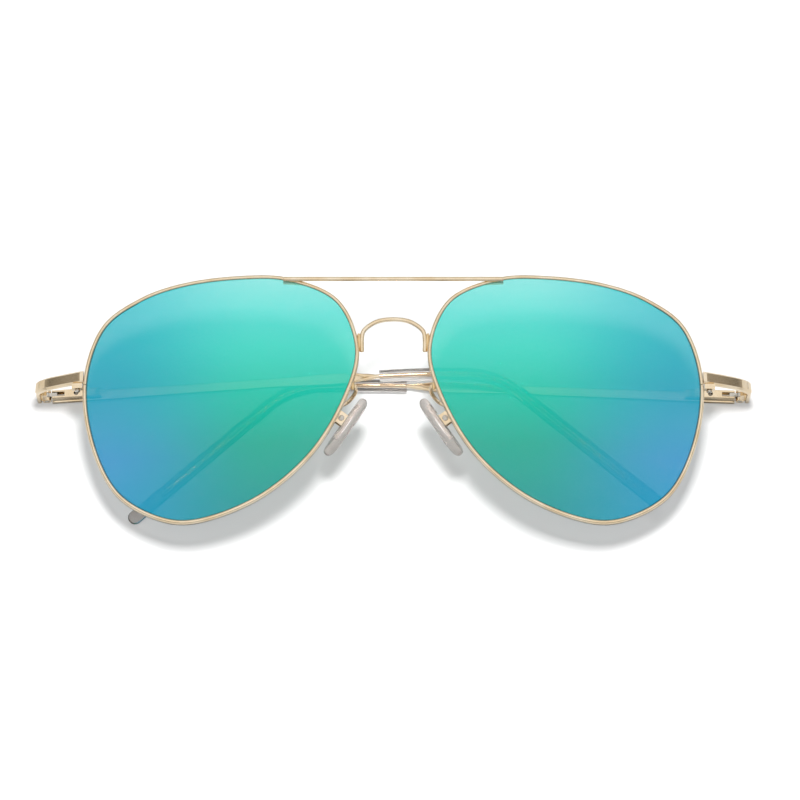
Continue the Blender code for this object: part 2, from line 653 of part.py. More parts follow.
def make_temple_bar(side, look):
    """Flat bar, spoon and neck in one piece with the round core wire inside the sleeve."""
    joint = KNUCKLE_RADIUS + GAP
    spoon = SLEEVE_START - 11 * MM
    flat = (
        (joint, BAR_HEIGHT, BAR_THICKNESS, 0.85), (FLAT_END, BAR_HEIGHT, BAR_THICKNESS, 0.85),
        (spoon * 0.35, BAR_HEIGHT * 0.9, BAR_THICKNESS, 0.85),
        (spoon * 0.55, BAR_HEIGHT * 0.85, BAR_THICKNESS * 0.9, 0.85),
        (spoon * 0.82, BAR_HEIGHT * 0.83, BAR_THICKNESS * 0.85, 0.8),
        (spoon * 0.93, BAR_HEIGHT * 0.98, BAR_THICKNESS * 0.75, 0.75),
        (spoon, BAR_HEIGHT * 1.08, BAR_THICKNESS * 0.68, 0.7),
        (spoon + 5 * MM, BAR_HEIGHT * 0.98, BAR_THICKNESS * 0.7, 0.7),
        (spoon + 8.5 * MM, BAR_HEIGHT * 0.62, BAR_THICKNESS * 0.8, 0.4),
        (SLEEVE_START - 0.8 * MM, CORE_DIAMETER, CORE_DIAMETER, 0.0),
    )
    rings = [oval(side, length, high, thick, 12, square) for length, high, thick, square in flat]
    core_end = TEMPLE_LENGTH - CORE_SHORT
    for length in bend_lengths(SLEEVE_START, core_end, 1.8 * MM):
        rings.append(oval(side, length, CORE_DIAMETER, CORE_DIAMETER, 12))
    return loft(f"temple_bar_{SIDE_NAMES[side]}", rings, look)


def make_temple_tip(side, look):
    """A clear sleeve over the core wire, open where the wire goes in and round at its end."""
    end_round = TIP_HEIGHT * 0.5
    body_end = TEMPLE_LENGTH - end_round
    lengths = bend_lengths(SLEEVE_START, body_end, 1.8 * MM)

    def size(length):
        share = min(max((length - SLEEVE_START) / (body_end - SLEEVE_START), 0), 1)
        high = SLEEVE_HEIGHT + (TIP_HEIGHT - SLEEVE_HEIGHT) * share
        thick = SLEEVE_THICKNESS * (1 - 0.12 * share)
        return high, thick

    rings = [oval(side, length, *size(length), 14) for length in lengths]
    high, thick = size(body_end)
    for step in (1, 2, 3):
        angle = step * math.radians(25)
        shrink = math.cos(angle)
        rings.append(oval(side, body_end + end_round * math.sin(angle), high * shrink, thick * shrink, 14))
    bore = CORE_DIAMETER + 4 * RUNNING_GAP
    core_end = TEMPLE_LENGTH - CORE_SHORT
    bore_end = core_end + 2 * RUNNING_GAP
    inner = [oval(side, bore_end, bore, bore, 14)]
    bored = bend_lengths(SLEEVE_START, core_end, 1.8 * MM)[:-1]
    inner += [oval(side, length, bore, bore, 14) for length in reversed(bored)]
    rings += inner
    # The last ring joins the first one, and the two ends of the skin are capped.
    count = len(rings[0])
    outer_count = len(rings) - len(inner)
    points = [point for ring in rings for point in ring]
    faces = []
    for i in range(len(rings)):
        if i == outer_count - 1:
            continue
        here, there = i * count, (i + 1) % len(rings) * count
        for j in range(count):
            k = (j + 1) % count
            faces.append((here + j, here + k, there + k, there + j))
    for ring in (outer_count - 1, outer_count):
        faces.append(tuple(range(ring * count, (ring + 1) * count)))
    return mesh_object(f"temple_tip_{SIDE_NAMES[side]}", points, faces, look)


# ---------------------------------------------------------------- nose pads
def pad_frame(side):
    """Origin in the pad's middle. x runs down the pad, y to the nose, z to the front."""
    down = Vector((side * math.sin(PAD_SPLAY), -math.cos(PAD_SPLAY), 0))
    level = Vector((-side * math.cos(PAD_SPLAY), -math.sin(PAD_SPLAY), 0))
    nose = math.cos(PAD_FLARE) * level - math.sin(PAD_FLARE) * Vector((0, 0, 1))
    place = Vector((side * PAD_PLACE.x, PAD_PLACE.y, PAD_PLACE.z))
    return FRONT @ frame_at(place, down, nose, down.cross(nose) * -side)


BOX_FACE = -PAD_THICKNESS / 2 - GAP  # the box's near face, on the pad's back
SCREW_Y = BOX_FACE - BOX_DEPTH * 0.5


def make_pad(side, look):
    """A soft oval pad with a pocket in its back for the insert."""
    frame = pad_frame(side)
    rings = []
    layers = ((-1.0, 0.78), (-0.75, 0.93), (-0.1, 1.0), (0.5, 0.93), (0.85, 0.74), (1.0, 0.45))
    sides = 24
    for depth, share in layers:
        ring = []
        for i in range(sides):
            angle = 2 * math.pi * i / sides
            x, z = math.cos(angle), math.sin(angle)
            long = PAD_LENGTH / 2 * abs(x) ** 0.8 * math.copysign(1, x)
            wide = PAD_WIDTH / 2 * abs(z) ** 0.8 * math.copysign(1, z) * (1 + 0.1 * x)
            inset = (1 - share) * PAD_WIDTH / 2
            reach = math.hypot(long, wide)
            keep = (reach - inset) / reach
            ring.append(frame @ Vector((long * keep, depth * PAD_THICKNESS / 2, wide * keep)))
        rings.append(ring)
    body = loft("pad", rings, look)
    long, _, wide = (size / 2 + GAP for size in INSERT_SIZE)
    pocket = block("pocket", frame, (-long - BOX_UP, -PAD_THICKNESS, -wide),
                   (long - BOX_UP, -PAD_THICKNESS / 2 + POCKET_DEPTH, wide), look)
    return combine(f"nose_pad_{SIDE_NAMES[side]}", body, cut=[pocket])


def make_pad_insert(side, look):
    """A plate in the pad's back with a drilled tab that the screw goes through."""
    frame = pad_frame(side)
    long, deep, wide = INSERT_SIZE
    back = -PAD_THICKNESS / 2 + POCKET_DEPTH - GAP
    plate = block("plate", frame, (-long / 2 - BOX_UP, back - deep, -wide / 2),
                  (long / 2 - BOX_UP, back, wide / 2), look)
    room = BOX_SIZE / 2 - BOX_WALL - GAP
    tab = block("tab", frame, (-room - BOX_UP, SCREW_Y - TAB_REACH, -room),
                (room - BOX_UP, back - deep / 2, room), look)
    ends = [frame @ Vector((-BOX_UP, SCREW_Y, z)) for z in (-room - OVERRUN, room + OVERRUN)]
    hole = rod("hole", *ends,
               SMALL_SCREW / 2 + RUNNING_GAP, look, sides=12)
    return combine(f"pad_insert_{SIDE_NAMES[side]}", plate, add=[tab], cut=[hole])


def make_pad_box(side, look):
    """A small open box on the pad arm, drilled for the pad screw."""
    frame = pad_frame(side)
    half = BOX_SIZE / 2
    low = (-half - BOX_UP, BOX_FACE - BOX_DEPTH, -half)
    body = block("box", frame, low, (half - BOX_UP, BOX_FACE, half), look)
    room = half - BOX_WALL
    # The pad rocks, so the hollow runs out at both ends.
    hollow = block("hollow", frame, (-half - BOX_UP - OVERRUN, BOX_FACE - BOX_DEPTH + BOX_FLOOR, -room),
                   (half - BOX_UP + OVERRUN, BOX_FACE + OVERRUN, room), look)
    ends = [frame @ Vector((-BOX_UP, SCREW_Y, z)) for z in (-half - OVERRUN, half + OVERRUN)]
    hole = rod("hole", *ends,
               SMALL_SCREW / 2 + RUNNING_GAP, look, sides=12)
    return combine(f"pad_box_{SIDE_NAMES[side]}", body, cut=[hollow, hole])


def make_pad_screw(side, look):
    frame = pad_frame(side)
    top = BOX_SIZE / 2 + GAP
    return make_screw(f"pad_screw_{SIDE_NAMES[side]}",
                      lambda d: frame @ Vector((-BOX_UP, SCREW_Y, top + d)), -1,
                      BOX_SIZE + GAP, SMALL_SCREW, look)


def make_pad_arm(side, look):
    """A looped wire from the rim's nose side round to the back of the pad box."""
    start_up = ARM_HEIGHT
    start_x = rim_inner_edge(start_up) - ARM_WIRE / 2 - 1.5 * GAP
    back = lens_drop(start_x - LENS_X, start_up) + RIM_MIDDLE
    frame = FRONT.inverted() @ pad_frame(side)
    box_back = BOX_FACE - BOX_DEPTH - 1.5 * GAP
    end = frame @ Vector((-BOX_UP, box_back, 0))
    before = frame @ Vector((-BOX_UP, box_back - 1.1 * MM, 0.1 * MM))
    end.x, before.x = abs(end.x), abs(before.x)
    start = Vector((start_x, start_up, -back))
    points = [
        start,
        Vector((start_x - 0.1 * MM, start_up - 0.9 * MM, start.z - 2.4 * MM)),
        Vector(((start_x + before.x) / 2 - 0.9 * MM, (start_up + before.y) / 2, before.z - 1.2 * MM)),
        Vector((before.x - 0.9 * MM, before.y + 1.2 * MM, before.z - 1.2 * MM)),
        before,
        end,
    ]
    path = [FRONT @ Vector((side * p.x, p.y, p.z)) for p in smooth_path(points, 4)]
    return tube(f"pad_arm_{SIDE_NAMES[side]}", path, ARM_WIRE / 2, look, sides=8)


# ---------------------------------------------------------------- assembly
def make_side(side, looks):
    make_lens(side, looks["lens"])
    make_rim(side, looks["gold"])
    make_end_piece(side, looks["gold"])
    make_rim_lock(side, looks["gold"])
    make_lock_screw(side, looks["steel"])
    make_hinge_leaf(side, looks["gold"])
    make_hinge_screw(side, looks["steel"])
    make_pad_arm(side, looks["gold"])
    make_pad_box(side, looks["gold"])
    make_pad_screw(side, looks["steel"])
    hinge = hinge_frame(side).translation
    moving = [
        make_slider(side, looks["steel"]),
        make_slider_stop(side, looks["steel"]),
        make_temple_bar(side, looks["gold"]),
        make_housing(side, looks["gold"]),
        make_spring(side, looks["steel"]),
        make_temple_tip(side, looks["clear"]),
    ]
    joint_empty(f"hinge_axis_{SIDE_NAMES[side]}", hinge, moving)
    pad = [make_pad(side, looks["silicone"]), make_pad_insert(side, looks["clear"])]
    joint_empty(f"pad_axis_{SIDE_NAMES[side]}", pad_frame(side) @ Vector((-BOX_UP, SCREW_Y, 0)), pad)


def main():
    clear_scene()
    looks = {
        "gold": material("gold_plated_metal", (0.86, 0.66, 0.38), 1.0, 0.2),
        "steel": material("bright_steel", (0.72, 0.69, 0.64), 1.0, 0.25),
        "lens": material("mirror_lens", (0.05, 0.55, 0.5), 0.85, 0.06),
        "clear": material("clear_acetate", (0.95, 0.95, 0.93), 0.0, 0.08, 0.9),
        "silicone": material("clear_silicone", (0.9, 0.87, 0.83), 0.0, 0.3, 0.8),
    }
    make_brow_bar(looks["gold"])
    make_bridge(looks["gold"])
    for side in SIDE_NAMES:
        make_side(side, looks)


main()
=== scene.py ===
import json
import math

import bmesh
import bpy
from mathutils import Matrix, Vector

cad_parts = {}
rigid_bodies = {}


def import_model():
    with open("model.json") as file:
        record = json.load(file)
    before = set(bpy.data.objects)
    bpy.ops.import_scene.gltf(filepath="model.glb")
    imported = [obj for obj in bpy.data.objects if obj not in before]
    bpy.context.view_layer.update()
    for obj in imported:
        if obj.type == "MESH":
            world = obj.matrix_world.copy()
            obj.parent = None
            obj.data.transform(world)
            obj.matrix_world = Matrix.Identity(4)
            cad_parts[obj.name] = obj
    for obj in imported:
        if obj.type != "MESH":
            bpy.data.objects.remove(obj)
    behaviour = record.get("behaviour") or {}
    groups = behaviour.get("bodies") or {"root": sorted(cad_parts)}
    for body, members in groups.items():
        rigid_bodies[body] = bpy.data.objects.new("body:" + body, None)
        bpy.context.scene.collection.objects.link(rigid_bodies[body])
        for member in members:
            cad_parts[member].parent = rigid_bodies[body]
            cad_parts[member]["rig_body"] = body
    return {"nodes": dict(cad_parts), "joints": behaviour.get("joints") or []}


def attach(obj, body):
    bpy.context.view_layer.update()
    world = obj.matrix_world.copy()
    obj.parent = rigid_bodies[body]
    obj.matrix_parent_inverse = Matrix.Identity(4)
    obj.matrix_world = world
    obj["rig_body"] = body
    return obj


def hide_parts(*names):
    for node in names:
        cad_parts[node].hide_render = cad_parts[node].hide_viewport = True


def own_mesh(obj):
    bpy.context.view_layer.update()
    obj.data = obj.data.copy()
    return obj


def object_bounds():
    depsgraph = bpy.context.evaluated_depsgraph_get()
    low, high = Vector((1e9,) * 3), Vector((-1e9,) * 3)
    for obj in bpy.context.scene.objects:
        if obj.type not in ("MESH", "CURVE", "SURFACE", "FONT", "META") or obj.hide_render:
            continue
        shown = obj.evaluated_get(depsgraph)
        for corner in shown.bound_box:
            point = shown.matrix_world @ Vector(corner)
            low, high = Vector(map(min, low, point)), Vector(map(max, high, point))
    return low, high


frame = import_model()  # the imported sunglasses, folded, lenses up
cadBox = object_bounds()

print("frame loaded")

# Every length below is in millimetres. Left and right are the wearer's, and left is at +X.
millimetre = 0.001
sides = {"left": 1, "right": -1}
sharpAngle = 40  # degrees between two faces from which their edge stays crisp
joints = {joint["name"]: joint for joint in frame["joints"]}


def addPiece(name, points, faces, look, body, nodes=(), uvs=None, sharp=sharpAngle):
    mesh = bpy.data.meshes.new(name)
    shape = bmesh.new()
    corners = [shape.verts.new(Vector(point) * millimetre) for point in points]
    for face in faces:
        shape.faces.new([corners[i] for i in face])
    bmesh.ops.recalc_face_normals(shape, faces=shape.faces)
    if uvs:
        shape.verts.index_update()
        layer = shape.loops.layers.uv.new("coating")
        for face in shape.faces:
            for loop in face.loops:
                loop[layer].uv = uvs[loop.vert.index]
    shape.to_mesh(mesh)
    shape.free()
    return finishPiece(name, mesh, look, body, nodes, sharp)


def finishPiece(name, mesh, look, body, nodes, sharp=sharpAngle):
    mesh.shade_smooth()
    mesh.set_sharp_from_angle(angle=math.radians(sharp))
    piece = bpy.data.objects.new(name, mesh)
    bpy.context.scene.collection.objects.link(piece)
    if look:
        piece.data.materials.append(look)
    if body:
        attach(piece, body)
    if nodes:
        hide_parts(*nodes)
    return piece


def between(here, there, count):
    # The faces between two rings, each given by the number of its first point.
    return [(here + j, here + (j + 1) % count, there + (j + 1) % count, there + j) for j in range(count)]


def skin(rings):
    count = len(rings[0])
    points = [point for ring in rings for point in ring]
    faces = []
    for i in range(len(rings) - 1):
        faces += between(i * count, (i + 1) * count, count)
    faces += [tuple(range(count)), tuple(range(len(points) - count, len(points)))]
    return points, faces


def ringAt(middle, across, up, radius, count):
    turn = 2 * math.pi / count
    return [middle + radius * (math.cos(i * turn) * across + math.sin(i * turn) * up) for i in range(count)]


def turned(start, along, profile, count=28):
    across = along.orthogonal().normalized()
    up = along.cross(across)
    return skin([ringAt(start + along * reach, across, up, radius, count) for reach, radius in profile])


def wire(path, radius, count=20, hint=Vector((0, 0, 1)), ends=0.12):
    rings, across = [], None
    last = len(path) - 1
    for i, point in enumerate(path):
        along = (path[min(i + 1, last)] - path[max(i - 1, 0)]).normalized()
        side = across if across else along.cross(hint)
        across = (side - side.dot(along) * along).normalized()
        up = along.cross(across)
        if i == 0:
            rings.append(ringAt(point, across, up, radius - ends, count))
            rings.append(ringAt(point + along * ends, across, up, radius, count))
        elif i == last:
            rings.append(ringAt(point - along * ends, across, up, radius, count))
            rings.append(ringAt(point, across, up, radius - ends, count))
        else:
            rings.append(ringAt(point, across, up, radius, count))
    return skin(rings)


def smoothPath(points, steps, closed=False):
    count = len(points)
    made = []
    for i in range(count if closed else count - 1):
        near = [i - 1, i, i + 1, i + 2]
        if closed:
            near = [k % count for k in near]
        else:
            near = [min(max(k, 0), count - 1) for k in near]
        a, b, c, d = (points[k] for k in near)
        for step in range(steps):
            t = step / steps
            made.append(0.5 * (2 * b + (c - a) * t + (2 * a - 5 * b + 4 * c - d) * t**2
                               + (3 * b - a - 3 * c + d) * t**3))
    if not closed:
        made.append(points[-1])
    return made


def boxAt(place, low, high):
    corners = ((low[0], low[1]), (high[0], low[1]), (high[0], high[1]), (low[0], high[1]))
    return skin([[place @ Vector((x, y, z)) for x, y in corners] for z in (low[2], high[2])])


def cutFrom(piece, *shapes):
    for number, (points, faces) in enumerate(shapes):
        cutter = addPiece(f"cutter{number}", points, faces, None, None)
        change = piece.modifiers.new("cut", "BOOLEAN")
        change.operation = "DIFFERENCE"
        change.object = cutter
    bpy.context.view_layer.update()
    graph = bpy.context.evaluated_depsgraph_get()
    mesh = bpy.data.meshes.new_from_object(piece.evaluated_get(graph))
    for change in list(piece.modifiers):
        cutter = change.object
        piece.modifiers.remove(change)
        bpy.data.objects.remove(cutter)
    piece.data = mesh
    mesh.shade_smooth()
    mesh.set_sharp_from_angle(angle=math.radians(sharpAngle))


def softenEdges(piece, width, segments=2, angle=30):
    change = piece.modifiers.new("softEdges", "BEVEL")
    change.width = width * millimetre
    change.segments = segments
    change.limit_method = "ANGLE"
    change.angle_limit = math.radians(angle)
    change.harden_normals = True
    change.use_clamp_overlap = True
    return piece


def finishedCopy(name, node, look, width=0.05):
    shape = bmesh.new()
    shape.from_mesh(frame["nodes"][node].data)
    bmesh.ops.remove_doubles(shape, verts=shape.verts, dist=0.0005 * millimetre)
    bmesh.ops.dissolve_limit(shape, angle_limit=math.radians(1), verts=shape.verts, edges=shape.edges)
    mesh = bpy.data.meshes.new(name)
    shape.to_mesh(mesh)
    shape.free()
    piece = finishPiece(name, mesh, look, frame["nodes"][node]["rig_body"], [node])
    return softenEdges(piece, width)


def placed(origin, xAxis, yAxis, zAxis):
    made = Matrix((xAxis, yAxis, zAxis)).transposed().to_4x4()
    made.translation = origin
    return made


def linear(hexColour):
    def channel(start):
        value = int(hexColour[start:start + 2], 16) / 255
        return value / 12.92 if value <= 0.04045 else ((value + 0.055) / 1.055) ** 2.4
    return (channel(1), channel(3), channel(5), 1)


def addNode(tree, kind, values=(), links=(), **settings):
    node = tree.nodes.new("ShaderNode" + kind)
    for name, value in settings.items():
        setattr(node, name, value)
    for socket, value in dict(values).items():
        node.inputs[socket].default_value = value
    for socket, source in dict(links).items():
        tree.links.new(source, node.inputs[socket])
    return node


def newMaterial(name, **values):
    made = bpy.data.materials.new(name)
    made.use_nodes = True
    shader = made.node_tree.nodes["Principled BSDF"]
    for socket, value in values.items():
        shader.inputs[socket.replace("_", " ")].default_value = value
    return made, made.node_tree, shader


def patternPlace(tree, size):
    # Object coordinates are in metres, so this makes one unit of the pattern size millimetres long.
    coords = addNode(tree, "TexCoord")
    scale = (1 / (size * millimetre),) * 3
    return addNode(tree, "Mapping", {"Scale": scale}, {"Vector": coords.outputs["Object"]})


def rampStops(node, stops):
    ramp = node.color_ramp
    while len(ramp.elements) < len(stops):
        ramp.elements.new(0.5)
    for element, (position, colour) in zip(ramp.elements, stops):
        element.position = position
        element.color = colour
    return node


goldFinish = {
    "colour": "#F3E2C6", "worn": "#E9D2AE", "roughness": 0.13, "polishMarks": 0.05,
    "plateCloud": 5.0,  # mm across a patch of thicker or thinner plating
    "polishGrain": 0.12,  # mm between polishing marks, coarser than real ones so that they show
    # The brushed flat's two tones are darker than the polished gold: a painted reflection, with brush lines
    # between them.
    "brushed": 0.24, "paintedReflectionBrushDark": "#BDA784", "paintedReflectionBrushLight": "#CDBA9C",
    "brushGrain": 0.08,  # mm between brush lines, coarser than real ones so that they show
    "brushStretch": 12,  # how many times longer than wide a brush line is
}


def platedGold():
    # Pale gold plated on nickel silver wire, barrel polished: bright, warm, with faint soft marks.
    look, tree, shader = newMaterial("platedGold", Metallic=1.0, Roughness=goldFinish["roughness"])
    cloud = addNode(tree, "TexNoise", {"Scale": 1.0, "Detail": 3.0},
                    {"Vector": patternPlace(tree, goldFinish["plateCloud"]).outputs[0]})
    tint = rampStops(addNode(tree, "ValToRGB", links={"Fac": cloud.outputs["Fac"]}),
                     [(0.38, linear(goldFinish["worn"])), (0.62, linear(goldFinish["colour"]))])
    tree.links.new(tint.outputs["Color"], shader.inputs["Base Color"])
    marks = addNode(tree, "TexNoise", {"Scale": 1.0, "Detail": 4.0, "Roughness": 0.6},
                    {"Vector": patternPlace(tree, goldFinish["polishGrain"]).outputs[0]})
    spread = addNode(tree, "MapRange", {"To Min": goldFinish["roughness"] - goldFinish["polishMarks"],
                                        "To Max": goldFinish["roughness"] + goldFinish["polishMarks"]},
                     {"Value": marks.outputs["Fac"]})
    tree.links.new(spread.outputs["Result"], shader.inputs["Roughness"])
    bump = addNode(tree, "Bump", {"Strength": 0.04, "Distance": 0.02 * millimetre},
                   {"Height": marks.outputs["Fac"]})
    tree.links.new(bump.outputs["Normal"], shader.inputs["Normal"])
    return look


def brushedGoldPaintedReflection():
    # The flat of each end piece is brushed along its length. Its gold is painted darker than the polished
    # bevels round it: a painted reflection of the dark room that the flat would mirror.
    look, tree, shader = newMaterial("brushedGoldPaintedReflection", Metallic=1.0, Roughness=goldFinish["brushed"])
    coords = addNode(tree, "TexCoord")
    grain = 1 / (goldFinish["brushGrain"] * millimetre)
    along = grain / goldFinish["brushStretch"]
    stretch = addNode(tree, "Mapping", {"Scale": (along, grain, along)},
                      {"Vector": coords.outputs["Object"]})
    lines = addNode(tree, "TexNoise", {"Scale": 1.0, "Detail": 3.0}, {"Vector": stretch.outputs[0]})
    dark, light = linear(goldFinish["paintedReflectionBrushDark"]), linear(goldFinish["paintedReflectionBrushLight"])
    tint = rampStops(addNode(tree, "ValToRGB", links={"Fac": lines.outputs["Fac"]}),
                     [(0.35, dark), (0.65, light)])
    tree.links.new(tint.outputs["Color"], shader.inputs["Base Color"])
    bump = addNode(tree, "Bump", {"Strength": 0.2, "Distance": 0.01 * millimetre},
                   {"Height": lines.outputs["Fac"]})
    tree.links.new(bump.outputs["Normal"], shader.inputs["Normal"])
    return look


steelFinish = {
    "colour": "#D9D4CB", "shade": "#C2BCB2", "roughness": 0.22, "glossiest": 0.15, "dullest": 0.32,
    "turningMarks": 0.08,  # mm between turning marks
}


def stainlessSteel():
    # Turned stainless screws, sliders and springs: cooler and a little duller than the plated parts.
    look, tree, shader = newMaterial("stainlessSteel", Metallic=1.0, Roughness=steelFinish["roughness"])
    marks = addNode(tree, "TexNoise", {"Scale": 1.0, "Detail": 3.0},
                    {"Vector": patternPlace(tree, steelFinish["turningMarks"]).outputs[0]})
    tint = rampStops(addNode(tree, "ValToRGB", links={"Fac": marks.outputs["Fac"]}),
                     [(0.3, linear(steelFinish["shade"])), (0.7, linear(steelFinish["colour"]))])
    tree.links.new(tint.outputs["Color"], shader.inputs["Base Color"])
    spread = addNode(tree, "MapRange",
                     {"To Min": steelFinish["glossiest"], "To Max": steelFinish["dullest"]},
                     {"Value": marks.outputs["Fac"]})
    tree.links.new(spread.outputs["Result"], shader.inputs["Roughness"])
    return look


coatingFinish = {
    # From the lens's foot up to its brow, first near the nose and then near the temple. The pale tones
    # towards the brow, palest near the nose, are a painted highlight of the softbox mirrored in the lens.
    "noseSidePaintedGlare": ((0.05, "#009C96"), (0.3, "#00AC94"), (0.5, "#00C4AA"), (0.7, "#37D8C5"),
                 (0.85, "#50DDD3"), (1.0, "#7FE5DF")),
    "templeSide": ((0.05, "#169ECA"), (0.25, "#379CCF"), (0.4, "#2BA3C6"), (0.55, "#00A6BF"),
                   (0.75, "#00B6C6"), (0.95, "#1FC4D0")),
    "sides": (0.32, 0.95),  # across the lens, where the one ends and the other is reached
    "roughness": 0.03, "opacity": 0.86, "bend": 1.59,
    "dye": "#3B4640", "dyeLight": "#46514A", "dyeOpacity": 0.35, "glossiest": 0.02, "dullest": 0.06,
    "smudge": 9.0,  # mm across a patch left by wiping
}


def mirrorPolycarbonate():
    # Dyed polycarbonate under a vacuum mirror coating: its colour drifts from green to blue towards the
    # temple, and what lies behind shows faintly. Its paler top near the nose is a painted highlight.
    look, tree, shader = newMaterial("mirrorPolycarbonate", Metallic=0.9, Alpha=coatingFinish["opacity"],
                                     IOR=coatingFinish["bend"])
    place = addNode(tree, "UVMap", uv_map="coating")
    parts = addNode(tree, "SeparateXYZ", links={"Vector": place.outputs["UV"]})
    tones = []
    for part in ("noseSidePaintedGlare", "templeSide"):
        stops = [(height, linear(colour)) for height, colour in coatingFinish[part]]
        tones.append(rampStops(addNode(tree, "ValToRGB", links={"Fac": parts.outputs["Y"]}), stops))
    nearTemple, farTemple = coatingFinish["sides"]
    share = addNode(tree, "MapRange", {"From Min": nearTemple, "From Max": farTemple},
                    {"Value": parts.outputs["X"]}, interpolation_type="SMOOTHSTEP")
    blend = addNode(tree, "Mix", links={"Factor": share.outputs["Result"]}, data_type="RGBA")
    tree.links.new(tones[0].outputs["Color"], blend.inputs[6])
    tree.links.new(tones[1].outputs["Color"], blend.inputs[7])
    tree.links.new(blend.outputs[2], shader.inputs["Base Color"])
    smudge = addNode(tree, "TexNoise", {"Scale": 1.0, "Detail": 3.0},
                     {"Vector": patternPlace(tree, coatingFinish["smudge"]).outputs[0]})
    spread = addNode(tree, "MapRange", {"To Min": coatingFinish["roughness"] * 0.6,
                                        "To Max": coatingFinish["roughness"] * 1.8},
                     {"Value": smudge.outputs["Fac"]})
    tree.links.new(spread.outputs["Result"], shader.inputs["Roughness"])
    return look


def dyedPolycarbonate():
    # The uncoated back of the lens: smoke-dyed, glossy, and the light comes through it.
    look, tree, shader = newMaterial("dyedPolycarbonate", Alpha=coatingFinish["dyeOpacity"],
                                     IOR=coatingFinish["bend"])
    streak = addNode(tree, "TexNoise", {"Scale": 1.0, "Detail": 2.0},
                     {"Vector": patternPlace(tree, coatingFinish["smudge"]).outputs[0]})
    tint = rampStops(addNode(tree, "ValToRGB", links={"Fac": streak.outputs["Fac"]}),
                     [(0.35, linear(coatingFinish["dye"])), (0.65, linear(coatingFinish["dyeLight"]))])
    tree.links.new(tint.outputs["Color"], shader.inputs["Base Color"])
    spread = addNode(tree, "MapRange",
                     {"To Min": coatingFinish["glossiest"], "To Max": coatingFinish["dullest"]},
                     {"Value": streak.outputs["Fac"]})
    tree.links.new(spread.outputs["Result"], shader.inputs["Roughness"])
    return look


clearFinish = {
    # Each clear plastic: its colour, how clear and how glossy it is, and mm across its faint pattern.
    # The silicone's grain is coarser than a real one so that it shows. Acetate and silicone bend the
    # light less than real ones (about 1.48 and 1.41), which keeps their edges pale.
    "acetate": {"colour": "#F7F2EF", "clear": 1.0, "bend": 1.36, "roughness": 0.03, "glossiest": 0.01,
                "dullest": 0.04, "detail": 2.0, "pattern": 3.0},
    "silicone": {"colour": "#FCF4F0", "clear": 0.82, "bend": 1.32, "roughness": 0.22, "glossiest": 0.14,
                 "dullest": 0.3, "detail": 3.0, "pattern": 0.4},
    "insert": {"colour": "#EFEAE0", "clear": 0.7, "bend": 1.58, "roughness": 0.1, "glossiest": 0.06,
               "dullest": 0.16, "detail": 2.0, "pattern": 1.2},
}


def clearPlastic(name, values):
    look, tree, shader = newMaterial(name, Base_Color=linear(values["colour"]), IOR=values["bend"],
                                     Roughness=values["roughness"], Transmission_Weight=values["clear"])
    pattern = addNode(tree, "TexNoise", {"Scale": 1.0, "Detail": values["detail"]},
                      {"Vector": patternPlace(tree, values["pattern"]).outputs[0]})
    spread = addNode(tree, "MapRange", {"To Min": values["glossiest"], "To Max": values["dullest"]},
                     {"Value": pattern.outputs["Fac"]})
    tree.links.new(spread.outputs["Result"], shader.inputs["Roughness"])
    return look, tree, shader, pattern


def clearAcetate():
    # Clear tumbled acetate sleeves: glassy, a touch warm, with the core wire showing inside.
    return clearPlastic("clearAcetate", clearFinish["acetate"])[0]


def clearSilicone():
    # Moulded silicone nose pads: soft gloss, slightly milky, and light glows in them.
    look, tree, shader, grain = clearPlastic("clearSilicone", clearFinish["silicone"])
    bump = addNode(tree, "Bump", {"Strength": 0.15, "Distance": 0.02 * millimetre},
                   {"Height": grain.outputs["Fac"]})
    tree.links.new(bump.outputs["Normal"], shader.inputs["Normal"])
    return look


def clearPolycarbonate():
    # Moulded polycarbonate insert inside each pad: harder and glossier than the silicone round it.
    return clearPlastic("clearPolycarbonate", clearFinish["insert"])[0]


solderFinish = {
    "colour": "#EBCF9F", "roughness": 0.28, "unevenness": 0.35,
    "ripple": 0.35,  # mm between the ripples of the fillet
}


def softSolder():
    # Solder fillets under the plating: the same gold, a little rougher and uneven.
    look, tree, shader = newMaterial("softSolder", Base_Color=linear(solderFinish["colour"]), Metallic=1.0,
                                     Roughness=solderFinish["roughness"])
    ripple = addNode(tree, "TexNoise", {"Scale": 1.0, "Detail": 4.0},
                     {"Vector": patternPlace(tree, solderFinish["ripple"]).outputs[0]})
    bump = addNode(tree, "Bump", {"Strength": solderFinish["unevenness"], "Distance": 0.05 * millimetre},
                   {"Height": ripple.outputs["Fac"]})
    tree.links.new(bump.outputs["Normal"], shader.inputs["Normal"])
    return look


gold, goldFlatPaintedReflection, steel = platedGold(), brushedGoldPaintedReflection(), stainlessSteel()
mirror, lensBack = mirrorPolycarbonate(), dyedPolycarbonate()
acetate, silicone, insertPlastic = clearAcetate(), clearSilicone(), clearPolycarbonate()
solder = softSolder()
print("materials made")

